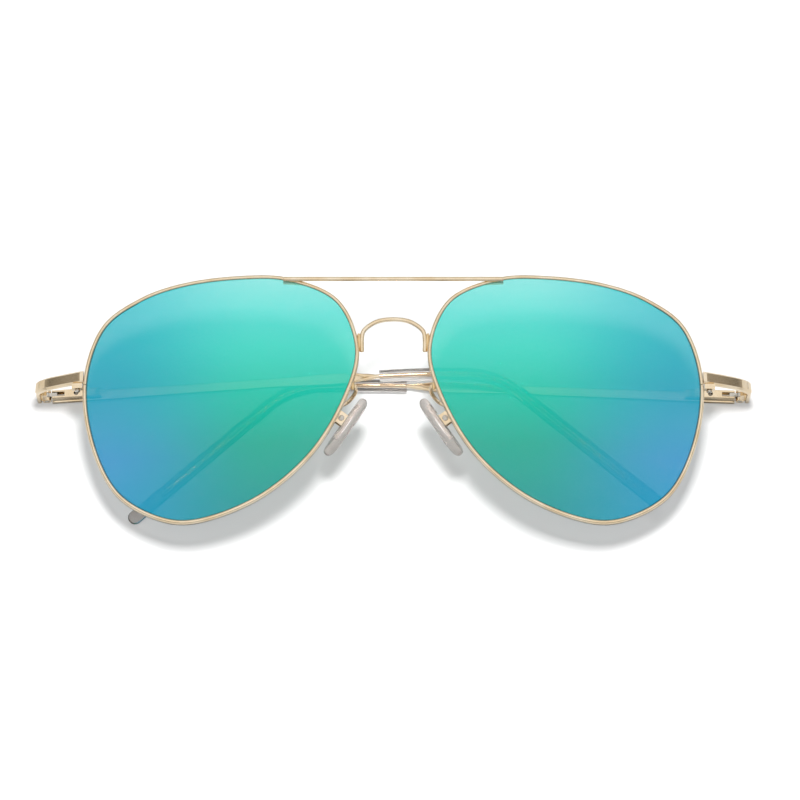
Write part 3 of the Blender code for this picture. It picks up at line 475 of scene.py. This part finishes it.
lens = {
    "width": 57.0, "height": 51.6, "apart": 15.4, "curve": 105.0, "thickness": 1.5, "edge": 0.33,
    "faceForm": math.radians(5.0), "tilt": math.radians(8.0), "forward": -0.54, "steps": 10,
    # Half the outline is 1 wide and 1 high. It starts at the rim lock, on the temple side.
    "outline": ((1.000, 0.141), (0.879, 0.596), (0.603, 0.827), (0.266, 0.948), (-0.156, 0.999),
                (-0.504, 0.980), (-0.855, 0.803), (-1.000, 0.400), (-0.904, -0.024), (-0.670, -0.462),
                (-0.319, -0.799), (0.089, -0.984), (0.408, -0.984), (0.745, -0.772), (0.936, -0.364)),
}
rim = {"width": 0.85, "depth": 1.9, "proud": 0.25, "groove": 0.3, "clearance": 0.08, "split": 0.25}
endPiece = {"height": 2.7, "thickness": 1.5, "wrap": 10.4, "slope": 0.4, "corner": 2.2,
            "cornerThickness": 1.8, "bevel": 0.16, "lean": 0.22,
            # The brushed flat is also painted a darker gold, a painted reflection.
            "flat": (1, 21)}  # the stretch of its steps whose face is brushed
hinge = {"knuckle": 0.9, "screw": 0.8, "height": 2.5, "leaf": 3.6, "tilt": {"left": 2.1, "right": 3.1},
         "lift": {"left": 0.0, "right": 2.2}}
bar = {"thickness": 1.2, "height": 2.3, "core": 0.95, "flatTo": 14.6}
spring = {"wire": 0.16, "turns": 6, "length": 3.4, "bore": 1.2, "travel": 1.2,
          "behind": 3.3}  # mm behind the housing's near end
gap, play = 0.1, 0.07  # between soldered pieces, and round pins

lensX = (lens["apart"] + lens["width"]) / 2
hingeOffset = hinge["knuckle"] + bar["thickness"]
outline = [Vector((x * lens["width"] / 2, y * lens["height"] / 2, 0)) for x, y in lens["outline"]]
lensLoop = smoothPath(outline, lens["steps"], closed=True)


def lensDrop(out, up):
    turnedOut = out + lens["curve"] * math.sin(lens["faceForm"])
    return lens["curve"] * math.cos(lens["faceForm"]) - math.sqrt(lens["curve"]**2 - turnedOut**2 - up**2)


lockOut, lockUp = outline[0].x, outline[0].y
endUp = lockUp + endPiece["height"] / 2
rimMiddle = rim["depth"] / 2 - rim["proud"]
endBack = lensDrop(lockOut, endUp) + rimMiddle
hingeZ = joints["temple_hinge_left"]["pos_m"][2] / millimetre
frontZ = hingeZ + endPiece["wrap"] - endUp * math.sin(lens["tilt"]) + endBack * math.cos(lens["tilt"])
front = Matrix.Translation((0, lens["forward"], frontZ)) @ Matrix.Rotation(lens["tilt"], 4, "X")


def offsetLoop(offset):
    made = []
    for i, point in enumerate(lensLoop):
        along = (lensLoop[(i + 1) % len(lensLoop)] - lensLoop[i - 1]).normalized()
        made.append(point + offset * Vector((along.y, -along.x, 0)))
    return made


def onFront(side, point, back):
    return front @ Vector((side * (lensX + point.x), point.y, -lensDrop(point.x, point.y) - back))


def lensUv(point):
    return (point.x / lens["width"] + 0.5, point.y / lens["height"] + 0.5)


def makeLens(word):
    side = sides[word]
    inner, outer = offsetLoop(-rim["groove"]), offsetLoop(0)
    soft = offsetLoop(-rim["groove"] - 0.05)
    half, edge = lens["thickness"] / 2, lens["edge"] / 2
    count = len(inner)
    shares = [0.03] + [i / 12 for i in range(1, 12)] + [0.99]
    layers = [([p * share for p in inner], 0) for share in shares]
    layers += [(soft, 0.0), (inner, 0.03), (outer, half - edge), (outer, half + edge),
               (inner, lens["thickness"] - 0.03), (soft, lens["thickness"])]
    layers += [([p * share for p in inner], lens["thickness"]) for share in reversed(shares)]
    points, uvs = [], []
    for loop, back in layers:
        points += [onFront(side, p, back) for p in loop]
        uvs += [lensUv(p) for p in loop]
    _, faces = skin([loop for loop, back in layers])
    piece = addPiece(f"mirrorLens_{word}", points, faces, mirror, "front", [f"lens_{word}"],
                     uvs, sharp=25)
    # The coating covers the front only. Polished metal beside the lens keeps its own pale colour.
    piece.data.materials.append(lensBack)
    coated = (len(shares) + 2) * count
    for face in piece.data.polygons:
        face.material_index = int(coated <= face.index != len(faces) - 2)
    piece.visible_glossy = False


def rimProfile():
    inside = rim["clearance"] - rim["groove"]
    outside = rim["width"] - rim["groove"]
    middle, half = (inside + outside) / 2, (outside - inside) / 2
    bottom = rim["depth"] - rim["proud"]
    centre, flat = lens["thickness"] / 2, lens["edge"] / 2 + rim["clearance"]
    turn = [math.pi * i / 8 for i in range(9)]
    crown = [(middle - half * math.cos(a), 0.1 - (0.1 + rim["proud"]) * math.sin(a)) for a in turn]
    sole = [(middle + half * math.cos(a), bottom - 0.27 + 0.27 * math.sin(a)) for a in turn]
    return crown + sole + [(rim["clearance"], centre + flat), (rim["clearance"], centre - flat)]


def makeRim(word):
    side = sides[word]
    profile = [(offsetLoop(offset), back) for offset, back in rimProfile()]
    rings = [[onFront(side, loop[i], back) for loop, back in profile] for i in range(len(lensLoop))]
    first = [p.lerp(q, rim["split"] / 2 / (q - p).length) for p, q in zip(rings[0], rings[1])]
    last = [p.lerp(q, rim["split"] / 2 / (q - p).length) for p, q in zip(rings[0], rings[-1])]
    points, faces = skin([first, *rings[1:], last])
    addPiece(f"rimWire_{word}", points, faces, gold, "front", [f"rim_{word}"], sharp=50)


for word in sides:
    makeLens(word)
    makeRim(word)
print("lenses and rims made")

brow = {"length": 46.2, "wire": 0.95, "height": 25.35}
bridge = {"wire": 0.95, "top": 16.8, "foot": 9.8, "corner": 3.4, "crown": 1.5, "plate": 4.0}


def rimInnerEdge(height):
    noseSidePaintedGlare = [p for p in offsetLoop(rim["width"] - rim["groove"]) if p.x < 0]
    return lensX + min(noseSidePaintedGlare, key=lambda p: abs(p.y - height)).x


def fillet(name, path, across, high):
    # A solder fillet: an oval bead along a path, thin at both ends.
    count = 16
    rings = []
    last = len(path) - 1
    normal = front.to_3x3() @ Vector((0, 0, 1))
    for i, point in enumerate(path):
        along = (path[min(i + 1, last)] - path[max(i - 1, 0)]).normalized()
        side = along.cross(normal).normalized()
        share = math.sin(math.pi * (i + 0.35) / (last + 0.7)) ** 0.6
        turn = 2 * math.pi / count
        rings.append([point + share * (across / 2 * math.cos(k * turn) * side
                                       + high / 2 * math.sin(k * turn) * normal) for k in range(count)])
    points, faces = skin(rings)
    addPiece(name, points, faces, solder, "front")


def makeBrowBar():
    half, radius = brow["length"] / 2, brow["wire"] / 2
    drop = lensDrop(half - lensX, brow["height"])
    lift = rim["proud"] + radius + gap
    start = front @ Vector((-half, brow["height"], lift - drop))
    end = front @ Vector((half, brow["height"], lift - drop))
    along = (end - start).normalized()
    reach = (end - start).length
    profile = [(0, radius - 0.09), (0.06, radius - 0.02), (0.12, radius)]
    profile += [(reach * i / 12, radius) for i in range(1, 12)]
    profile += [(reach - 0.12, radius), (reach - 0.06, radius - 0.02), (reach, radius - 0.09)]
    points, faces = turned(start, along, profile)
    addPiece("browBarWire", points, faces, gold, "front", ["brow_bar"])
    # Where the bar crosses each rim it is soldered down.
    for word, side in sides.items():
        near = [p for p in offsetLoop(0) if p.y > 0 and abs(lensX + p.x) < half + 1]
        spot = min(near, key=lambda p: abs(p.y - brow["height"] + 0.3)
                   + 0.4 * abs(p.x + lensX - half + 2.5))
        run = [Vector((side * (lensX + spot.x + step), brow["height"] - 0.15, -drop + 0.1)) for step in
               (-1.6, -1.0, -0.4, 0.2, 0.8, 1.4)]
        fillet(f"browSolder_{word}", [front @ p for p in run], 0.8, 0.75)


def makeBridge():
    radius = bridge["wire"] / 2
    footX = min(rimInnerEdge(bridge["foot"]), rimInnerEdge(bridge["foot"] + 2)) - radius - gap
    shoulder, corner = bridge["top"] - bridge["crown"], bridge["corner"]
    half = [
        Vector((footX, bridge["foot"], 0)),
        Vector((footX, shoulder - corner * 0.75, 0)),
        Vector((footX - corner * 0.12, shoulder - corner * 0.28, 0)),
        Vector((footX - corner * 0.55, shoulder + corner * 0.1, 0)),
        Vector((footX * 0.42, bridge["top"] - bridge["crown"] * 0.2, 0)),
    ]
    back = lensDrop(footX - lensX, bridge["foot"]) + rimMiddle * 0.8
    arch = half + [Vector((0, bridge["top"], 0))] + [Vector((-p.x, p.y, 0)) for p in reversed(half)]
    path = [front @ Vector((p.x, p.y, -back)) for p in smoothPath(arch, 9)]
    points, faces = wire(path, radius, 24, hint=front.to_3x3() @ Vector((0, 0, 1)))
    addPiece("bridgeArch", points, faces, gold, "front", ["nose_bridge"])
    for word, side in sides.items():
        steps = 10
        run = []
        for i in range(steps + 1):
            up = bridge["foot"] + bridge["plate"] * i / steps
            rimX = rimInnerEdge(up)
            run.append(front @ Vector((side * (footX * 0.35 + rimX * 0.65 - 0.05), up, -back - 0.05)))
        fillet(f"bridgeSolder_{word}", run, 1.15, 0.8)


makeBrowBar()
makeBridge()
print("bridge made")


def hingeFrame(word):
    side = sides[word]
    tilt = math.radians(hinge["tilt"][word])
    origin = Vector(joints[f"temple_hinge_{word}"]["pos_m"]) / millimetre
    outward = Vector((side * math.cos(tilt), -math.sin(tilt), 0))
    upward = Vector((side * math.sin(tilt), math.cos(tilt), 0))
    return placed(origin, outward, upward, Vector((0, 0, 1)))


def templeFrame(word):
    lift = Matrix.Rotation(math.radians(hinge["lift"][word]), 4, "Y")
    return hingeFrame(word) @ Matrix.Scale(-1, 4, (1, 0, 0)) @ lift.inverted()


hingeX = abs(joints["temple_hinge_left"]["pos_m"][0]) / millimetre
rootOut = lockOut + rim["width"] - rim["groove"] + gap + lensX - hingeX
lockScrew = {"out": 1.15, "diameter": 0.7, "plate": 1.1}


def lockScrewPoint(word, up):
    back = endPiece["wrap"] - endPiece["slope"] * lockScrew["out"]
    return hingeFrame(word) @ Vector((rootOut + lockScrew["out"], up - endPiece["height"] / 2, back))


def makeEndPiece(word):
    place = hingeFrame(word)
    tail = bar["thickness"] - 2 * gap
    tailOut = hingeOffset - tail / 2
    run = tailOut - rootOut
    corner, thick, cornerThick = endPiece["corner"], endPiece["thickness"], endPiece["cornerThickness"]
    wall = hinge["leaf"] + 6 * gap
    line = smoothPath([
        Vector((rootOut, endPiece["wrap"], thick)),
        Vector((rootOut + 0.5 * run, endPiece["wrap"] - 0.5 * run * endPiece["slope"], thick)),
        Vector((tailOut - corner, wall + 1.36 * corner, thick)),
        Vector((tailOut - (cornerThick - tail) / 2, wall + 0.64 * corner, cornerThick)),
        Vector((tailOut, wall + 0.1 * corner, tail)),
        Vector((tailOut, wall * 0.6, tail)),
        Vector((tailOut, -hinge["knuckle"], tail)),
    ], 10)
    up = place.to_3x3() @ Vector((0, 1, 0))
    last = len(line) - 1
    rings = []
    for i, point in enumerate(line):
        along = line[min(i + 1, last)] - line[max(i - 1, 0)]
        along = Vector((along.x, along.y)).normalized() if i else Vector((1, 0))
        across = place.to_3x3() @ Vector((along.y, 0, -along.x))
        high = (endPiece["height"] + (hinge["height"] - endPiece["height"]) * i / last) / 2
        deep, cut = point.z / 2, 0.25 * point.z
        middle = place @ Vector((point.x, 0, point.y))
        # Round the bar from the brow's inner edge. The face that shows leans to the brow.
        corners = ((high, deep - cut), (high - cut, deep), (cut - high, deep), (-high, deep - cut),
                   (-high, cut - deep), (cut - high, -deep), (high - cut, endPiece["lean"] - deep),
                   (high, endPiece["lean"] + cut - deep))
        ring = [middle + a * up + b * across for a, b in corners]
        if i == 0:
            # The root is filed to the rim's curve, which falls away towards the brow.
            inward = place.to_3x3() @ Vector((-1, 0, 0))
            ring = [point + inward * (0.08 + 0.11 * (a / high + 1)) for point, (a, b) in zip(ring, corners)]
        rings.append(ring)
    points, faces = skin(rings)
    body = addPiece(f"endBar_{word}", points, faces, gold, "front", [f"end_piece_{word}"])
    body.data.materials.append(goldFlatPaintedReflection)
    perRing = len(rings[0])
    # These faces of the flat get the darker gold, a painted reflection.
    for ring in range(*endPiece["flat"]):
        body.data.polygons[ring * perRing + 5].material_index = 1
    start = lockScrewPoint(word, -1)
    along = (lockScrewPoint(word, 1) - start).normalized()
    boreRadius = lockScrew["diameter"] / 2 + play
    bore = turned(start, along, [(0, boreRadius), (1 + endPiece["height"] * 0.6, boreRadius)])
    cutFrom(body, bore)
    softenEdges(body, endPiece["bevel"], 3, 25)


def makeScrew(name, under, into, length, diameter, body, node):
    # A slotted screw: under is where the head sits, into points down the shank.
    headHigh, headRadius = diameter * 0.6, diameter * 0.85
    profile = [(-headHigh, headRadius * 0.78), (-headHigh * 0.86, headRadius * 0.93),
               (-headHigh * 0.6, headRadius), (-0.04, headRadius), (0, headRadius * 0.95),
               (0.01, diameter / 2)]
    turns = max(3, int(length / 0.18))
    for i in range(turns):
        at = 0.1 + (length - 0.25) * i / turns
        profile += [(at, diameter / 2), (at + 0.09, diameter / 2 - 0.04)]
    profile += [(length - 0.08, diameter / 2 - 0.02), (length, diameter / 2 - 0.1)]
    points, faces = turned(under, into, profile, 32)
    screw = addPiece(name, points, faces, steel, body, [node], sharp=30)
    across = into.orthogonal().normalized()
    slotPlace = placed(under - into * headHigh, across, into.cross(across), into)
    cutFrom(screw, boxAt(slotPlace, (-1, -0.09, -0.3), (1, 0.09, 0.18)))


def makeSpring(word):
    place = templeFrame(word)
    near = hinge["knuckle"] + 2 * gap + spring["behind"]
    thick, turns = spring["wire"], spring["turns"]
    radius = spring["bore"] / 2 - play - thick / 2
    rise = spring["length"] - thick - play
    perTurn = 20
    path = []
    for i in range(perTurn * turns + 1):
        angle = 2 * math.pi * i / perTurn
        reach = near + thick / 2 + play / 2 + rise * i / (perTurn * turns)
        path.append(place @ Vector((reach, radius * math.cos(angle), radius * math.sin(angle))))
    points, faces = wire(path, thick / 2, 10, hint=place.to_3x3() @ Vector((1, 0, 0)), ends=0.02)
    coil = addPiece(f"coilSpring_{word}", points, faces, steel, f"temple_{word}", [f"hinge_spring_{word}"])
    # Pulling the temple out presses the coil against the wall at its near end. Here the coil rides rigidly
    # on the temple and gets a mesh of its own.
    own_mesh(coil)


def makeBraze(word):
    # The brazed seam between the hinge's front plate and the end piece.
    plateOut = hinge["knuckle"] - gap
    half = hinge["height"] / 2 - 0.12
    points, faces = boxAt(hingeFrame(word), (plateOut - 0.03, -half, 0.1),
                          (plateOut + 0.33, half, hinge["leaf"] + 0.12))
    piece = addPiece(f"hingeBraze_{word}", points, faces, solder, "front")
    softenEdges(piece, 0.1, 3)


for word in sides:
    makeEndPiece(word)
    makeBraze(word)
    finishedCopy(f"lockPlate_{word}", f"rim_lock_{word}", gold, 0.09)
    down = hingeFrame(word).to_3x3() @ Vector((0, 1, 0))
    makeScrew(f"lockScrew_{word}", lockScrewPoint(word, -lockScrew["plate"] - 2 * gap), down,
              lockScrew["plate"] + 2 * gap + endPiece["height"] * 0.5, lockScrew["diameter"], "front",
              f"rim_lock_screw_{word}")
    finishedCopy(f"hingePlate_{word}", f"hinge_leaf_{word}", gold)
    makeScrew(f"hingePin_{word}", hingeFrame(word) @ Vector((0, hinge["height"] / 2 + gap, 0)), -down,
              hinge["height"] + 2 * gap, hinge["screw"], "front", f"hinge_screw_{word}")
    finishedCopy(f"sliderTongue_{word}", f"hinge_slider_{word}", steel, 0.04)
    finishedCopy(f"sliderCollar_{word}", f"slider_stop_{word}", steel, 0.03)
    finishedCopy(f"springBox_{word}", f"hinge_housing_{word}", gold, 0.06)
    makeSpring(word)
print("hinges made")

temple = {
    "length": 140.0, "sleeveStart": 70.7, "sleeveHeight": 2.6, "sleeveThickness": 2.4, "tipHeight": 3.0,
    "bendStart": 89.2, "bendRadius": 18.0, "bend": math.radians(39.0), "softBend": math.radians(5.0),
    "coreShort": 9.0,
}


def templePoint(length):
    soft = temple["bendStart"] - temple["sleeveStart"]
    bendEnd = temple["bendStart"] + temple["bendRadius"] * temple["bend"]
    along, up, turn = min(length, temple["sleeveStart"]), 0.0, 0.0
    if length > temple["sleeveStart"]:
        radius = soft / temple["softBend"]
        turn = min(length - temple["sleeveStart"], soft) / radius
        along += radius * math.sin(turn)
        up -= radius * (1 - math.cos(turn))
    if length > temple["bendStart"]:
        radius = temple["bendRadius"]
        extra = (min(length, bendEnd) - temple["bendStart"]) / radius
        along += radius * (math.sin(turn + extra) - math.sin(turn))
        up -= radius * (math.cos(turn) - math.cos(turn + extra))
        turn += extra
    if length > bendEnd:
        along += (length - bendEnd) * math.cos(turn)
        up -= (length - bendEnd) * math.sin(turn)
    return along, up, turn


def templeInset(length):
    inBar = -(hinge["knuckle"] + bar["thickness"] / 2)
    inSleeve = temple["sleeveThickness"] / 2 - hingeOffset
    share = min(max((length - bar["flatTo"]) / (temple["sleeveStart"] - 5 - bar["flatTo"]), 0), 1)
    return inBar + (inSleeve - inBar) * share * share * (3 - 2 * share)


def ovalRing(word, length, high, thick, square, count):
    place = templeFrame(word)
    along, up, turn = templePoint(length)
    middle = Vector((along, up, templeInset(length)))
    upward = Vector((math.sin(turn), math.cos(turn), 0))
    ring = []
    for i in range(count):
        angle = 2 * math.pi * (i + 0.5) / count
        x, y = math.cos(angle), math.sin(angle)
        push = 1 + square * (1 / max(abs(x), abs(y)) - 1)
        out = Vector((0, 0, thick / 2 * y * push))
        ring.append(place @ (middle + upward * (high / 2 * x * push) + out))
    return ring


def evenSteps(start, end, spacing):
    count = max(1, round((end - start) / spacing))
    return [start + (end - start) * i / count for i in range(count)]


def makeBar(word):
    joint = hinge["knuckle"] + gap
    spoon = temple["sleeveStart"] - 11
    high, thick, core = bar["height"], bar["thickness"], bar["core"]
    stations = [
        # Along the bar: where, how high, how thick, and how square.
        (joint, high, thick, 0.85), (bar["flatTo"], high, thick, 0.85),
        (spoon * 0.35, high * 0.9, thick, 0.85), (spoon * 0.55, high * 0.85, thick * 0.9, 0.85),
        (spoon * 0.82, high * 0.83, thick * 0.85, 0.8),
        (spoon * 0.93, high * 0.98, thick * 0.75, 0.75), (spoon, high * 1.08, thick * 0.68, 0.7),
        (spoon + 5, high * 0.98, thick * 0.7, 0.7), (spoon + 8.5, high * 0.62, thick * 0.8, 0.4),
        (temple["sleeveStart"] - 0.8, core, core, 0.0),
    ]
    rings = [ovalRing(word, joint, high - 0.16, thick - 0.16, 0.85, 32)]
    for near, far in zip(stations, stations[1:]):
        for length in evenSteps(near[0], far[0], 1.0):
            share = (length - near[0]) / (far[0] - near[0])
            share = share * share * (3 - 2 * share)
            size = [a + (b - a) * share for a, b in zip(near[1:], far[1:])]
            rings.append(ovalRing(word, max(length, joint + 0.08), *size, 32))
    coreEnd = temple["length"] - temple["coreShort"]
    for length in evenSteps(temple["sleeveStart"] - 0.8, coreEnd, 1.0):
        rings.append(ovalRing(word, length, core, core, 0, 32))
    rings.append(ovalRing(word, coreEnd, core * 0.9, core * 0.9, 0, 32))
    rings.append(ovalRing(word, coreEnd + 0.1, core * 0.6, core * 0.6, 0, 32))
    points, faces = skin(rings)
    addPiece(f"templeBar_{word}", points, faces, gold, f"temple_{word}", [f"temple_bar_{word}"],
             sharp=50)


def makeTip(word):
    endRound = temple["tipHeight"] * 0.5
    bodyEnd = temple["length"] - endRound

    def size(length):
        share = min(max((length - temple["sleeveStart"]) / (bodyEnd - temple["sleeveStart"]), 0), 1)
        high = temple["sleeveHeight"] + (temple["tipHeight"] - temple["sleeveHeight"]) * share
        return high, temple["sleeveThickness"] * (1 - 0.12 * share)

    start = temple["sleeveStart"]
    count = 28
    rings = [ovalRing(word, start, *[s - 0.24 for s in size(start)], 0, count),
             ovalRing(word, start + 0.04, *[s - 0.08 for s in size(start)], 0, count)]
    rings += [ovalRing(word, length, *size(length), 0, count)
              for length in evenSteps(start + 0.14, bodyEnd, 1.0)]
    for step in range(0, 9):
        angle = math.radians(step * 9.5)
        high, thick = (s * math.cos(angle) for s in size(bodyEnd))
        rings.append(ovalRing(word, bodyEnd + endRound * math.sin(angle), high, thick, 0, count))
    bore = bar["core"] + 0.04
    coreEnd = temple["length"] - temple["coreShort"] + 2 * play
    outer = len(rings)
    rings += [ovalRing(word, length, bore, bore, 0, count)
              for length in [coreEnd, *reversed(evenSteps(start, coreEnd, 1.0))]]
    points = [point for ring in rings for point in ring]
    faces = []
    for i in range(len(rings)):
        if i != outer - 1:
            faces += between(i * count, (i + 1) % len(rings) * count, count)
    faces += [tuple(range(ring * count, (ring + 1) * count)) for ring in (outer - 1, outer)]
    addPiece(f"sleeveTip_{word}", points, faces, acetate, f"temple_{word}", [f"temple_tip_{word}"])


for word in sides:
    makeBar(word)
    makeTip(word)
print("temples made")

pad = {
    "length": 14.4, "width": 6.8, "thickness": 2.1, "place": (9.9, -5.5, -6.9),
    "splay": math.radians(34.5), "flare": math.radians(12.0), "arm": 0.85, "screw": 0.7, "pocket": 0.9,
    "boxUp": 0.85, "boxSize": 2.6, "boxDepth": 1.9, "insertLength": 8.4, "insertWidth": 3.2,
}
boxFace = -pad["thickness"] / 2 - gap
screwY = boxFace - pad["boxDepth"] * 0.5


def padFrame(word):
    side = sides[word]
    down = Vector((side * math.sin(pad["splay"]), -math.cos(pad["splay"]), 0))
    level = Vector((-side * math.cos(pad["splay"]), -math.sin(pad["splay"]), 0))
    nose = math.cos(pad["flare"]) * level - math.sin(pad["flare"]) * Vector((0, 0, 1))
    facing = down.cross(nose).normalized()
    if facing.z < 0:
        facing.negate()
    x, y, z = pad["place"]
    return front @ placed(Vector((side * x, y, z)), down, nose, facing)


def makePad(word):
    place = padFrame(word)
    rings = []
    layers = [(-1.0, 0.78), (-0.96, 0.84), (-0.88, 0.89), (-0.7, 0.945), (-0.4, 0.985), (-0.1, 1.0),
              (0.2, 0.98), (0.45, 0.935), (0.65, 0.86), (0.8, 0.77), (0.91, 0.65), (0.97, 0.5), (1.0, 0.3),
              (1.0, 0.12)]
    count = 72
    for depth, share in layers:
        ring = []
        for i in range(count):
            angle = 2 * math.pi * i / count
            x, z = math.cos(angle), math.sin(angle)
            long = pad["length"] / 2 * abs(x) ** 0.8 * math.copysign(1, x)
            wide = pad["width"] / 2 * abs(z) ** 0.8 * math.copysign(1, z) * (1 + 0.1 * x)
            reach = math.hypot(long, wide)
            # Down to half the width each ring is inset evenly, then the last rings close over the crown.
            inset = (1 - max(share, 0.5)) * pad["width"] / 2
            keep = (reach - inset) / reach * min(share / 0.5, 1)
            ring.append(place @ Vector((long * keep, depth * pad["thickness"] / 2, wide * keep)))
        rings.append(ring)
    points, faces = skin(rings)
    body = addPiece(f"siliconePad_{word}", points, faces, silicone, f"nose_pad_{word}",
                    [f"nose_pad_{word}"])
    long, wide = pad["insertLength"] / 2 + gap, pad["insertWidth"] / 2 + gap
    pocket = boxAt(place, (-long - pad["boxUp"], -pad["thickness"], -wide),
                   (long - pad["boxUp"], -pad["thickness"] / 2 + pad["pocket"], wide))
    cutFrom(body, pocket)


def makePadArm(word):
    side = sides[word]
    startUp = 2.4
    startX = rimInnerEdge(startUp) - pad["arm"] / 2 - 1.5 * gap
    back = lensDrop(startX - lensX, startUp) + rimMiddle
    place = front.inverted() @ padFrame(word)
    boxBack = boxFace - pad["boxDepth"] - 1.5 * gap
    end = place @ Vector((-pad["boxUp"], boxBack, 0))
    before = place @ Vector((-pad["boxUp"], boxBack - 1.1, 0.1))
    end.x, before.x = abs(end.x), abs(before.x)
    path = smoothPath([
        Vector((startX, startUp, -back)),
        Vector((startX - 0.1, startUp - 0.9, -back - 2.4)),
        Vector(((startX + before.x) / 2 - 0.9, (startUp + before.y) / 2, before.z - 1.2)),
        Vector((before.x - 0.9, before.y + 1.2, before.z - 1.2)),
        before,
        end,
    ], 12)
    points, faces = wire([front @ Vector((side * p.x, p.y, p.z)) for p in path], pad["arm"] / 2, 20)
    addPiece(f"padArmWire_{word}", points, faces, gold, "front", [f"pad_arm_{word}"])
    run = [front @ Vector((side * (startX + 0.45), startUp + step, -back))
           for step in (-0.9, -0.6, -0.3, 0, 0.3, 0.6, 0.9)]
    fillet(f"armSolder_{word}", run, 0.9, 0.8)
    screwTop = padFrame(word) @ Vector((-pad["boxUp"], screwY, pad["boxSize"] / 2 + gap))
    makeScrew(f"padScrew_{word}", screwTop, padFrame(word).to_3x3() @ Vector((0, 0, -1)),
              pad["boxSize"] + gap, pad["screw"], "front", f"pad_screw_{word}")


for word in sides:
    makePad(word)
    finishedCopy(f"padInsert_{word}", f"pad_insert_{word}", insertPlastic)
    finishedCopy(f"padBox_{word}", f"pad_box_{word}", gold, 0.08)
    makePadArm(word)
print("nose pads made")

studio = {
    "floor": 3000.0, "floorColour": "#FFFFFF", "floorCover": 0.68,
    "key": {"place": (15, 75, 600), "size": (130, 130), "power": 3.8},
    "fill": {"place": (-500, -300, 700), "size": (600, 600), "power": 0.45},
    "diffuse": 0.10,  # light that the room gives to matt things
    # What shiny things see, by how high it lies: straight down 0, level 0.5, straight up 1.
    "seen": ((0.0, 0.05), (0.47, 0.05), (0.52, 0.8), (0.64, 0.85), (0.68, 0.22), (0.765, 0.22),
             (0.82, 0.96), (1.0, 1.0)),
    "cameraFar": 1000.0, "elevation": 70.0, "aim": (1.4, -1.63, 19.1), "frameWide": 166.7,
}


def makeFloor():
    half = studio["floor"] / 2 * millimetre
    mesh = bpy.data.meshes.new("tableTop")
    low = cadBox[0].z - 0.02 * millimetre
    corners = [(x * half, y * half, low) for x, y in ((-1, -1), (1, -1), (1, 1), (-1, 1))]
    mesh.from_pydata(corners, [], [(0, 1, 2, 3)])
    floor = bpy.data.objects.new("tableTop", mesh)
    bpy.context.scene.collection.objects.link(floor)
    # Matt white sheet, part see-through so that an opened temple still shows below it.
    look = bpy.data.materials.new("matteWhite")
    look.use_nodes = True
    tree = look.node_tree
    tree.nodes.clear()
    matte = addNode(tree, "BsdfDiffuse", {"Color": linear(studio["floorColour"])})
    clear = addNode(tree, "BsdfTransparent")
    mix = addNode(tree, "MixShader", {"Fac": studio["floorCover"]})
    tree.links.new(clear.outputs[0], mix.inputs[1])
    tree.links.new(matte.outputs[0], mix.inputs[2])
    out = addNode(tree, "OutputMaterial")
    tree.links.new(mix.outputs[0], out.inputs["Surface"])
    mesh.materials.append(look)


def makeLight(name, values):
    light = bpy.data.lights.new(name, "AREA")
    light.shape = "RECTANGLE"
    light.size, light.size_y = (size * millimetre for size in values["size"])
    light.energy = values["power"]
    lamp = bpy.data.objects.new(name, light)
    lamp.location = Vector(values["place"]) * millimetre
    lamp.visible_glossy = False
    lamp.rotation_euler = (-lamp.location).to_track_quat("-Z", "Y").to_euler()
    bpy.context.scene.collection.objects.link(lamp)


def makeSky():
    world = bpy.data.worlds.new("studio")
    bpy.context.scene.world = world
    world.use_nodes = True
    tree = world.node_tree
    tree.nodes.clear()
    coords = addNode(tree, "TexCoord")
    parts = addNode(tree, "SeparateXYZ", links={"Vector": coords.outputs["Generated"]})
    height = addNode(tree, "MapRange", {"From Min": -1.0, "From Max": 1.0}, {"Value": parts.outputs["Z"]})
    tones = [(place, (tone, tone, tone, 1)) for place, tone in studio["seen"]]
    room = rampStops(addNode(tree, "ValToRGB", links={"Fac": height.outputs["Result"]}), tones)
    path = addNode(tree, "LightPath")
    # Matt things are lit evenly, shiny ones see the room, and the camera sees plain white.
    level = (studio["diffuse"],) * 3 + (1,)
    lit = addNode(tree, "Mix", {7: level},
                  {"Factor": path.outputs["Is Diffuse Ray"], 6: room.outputs["Color"]}, data_type="RGBA")
    plain = addNode(tree, "Mix", {7: (1, 1, 1, 1)},
                    {"Factor": path.outputs["Is Camera Ray"], 6: lit.outputs[2]}, data_type="RGBA")
    shade = addNode(tree, "Background", links={"Color": plain.outputs[2]})
    out = addNode(tree, "OutputWorld")
    tree.links.new(shade.outputs[0], out.inputs["Surface"])


def makeCamera():
    camera = bpy.data.cameras.new("camera")
    camera.sensor_width = 36.0
    camera.lens = camera.sensor_width * studio["cameraFar"] / studio["frameWide"]
    rise = math.radians(studio["elevation"])
    aim = Vector(studio["aim"])
    back = Vector((0, -math.cos(rise), math.sin(rise)))
    holder = bpy.data.objects.new("camera", camera)
    holder.location = (aim + back * studio["cameraFar"]) * millimetre
    holder.rotation_euler = (-back).to_track_quat("-Z", "Y").to_euler()
    camera.clip_start, camera.clip_end = 0.01, 10.0
    bpy.context.scene.collection.objects.link(holder)
    bpy.context.scene.camera = holder


makeFloor()
makeLight("keySoftbox", studio["key"])
makeLight("fillSoftbox", studio["fill"])
makeSky()
makeCamera()
bpy.context.scene.view_settings.view_transform = "Standard"
print("studio made")
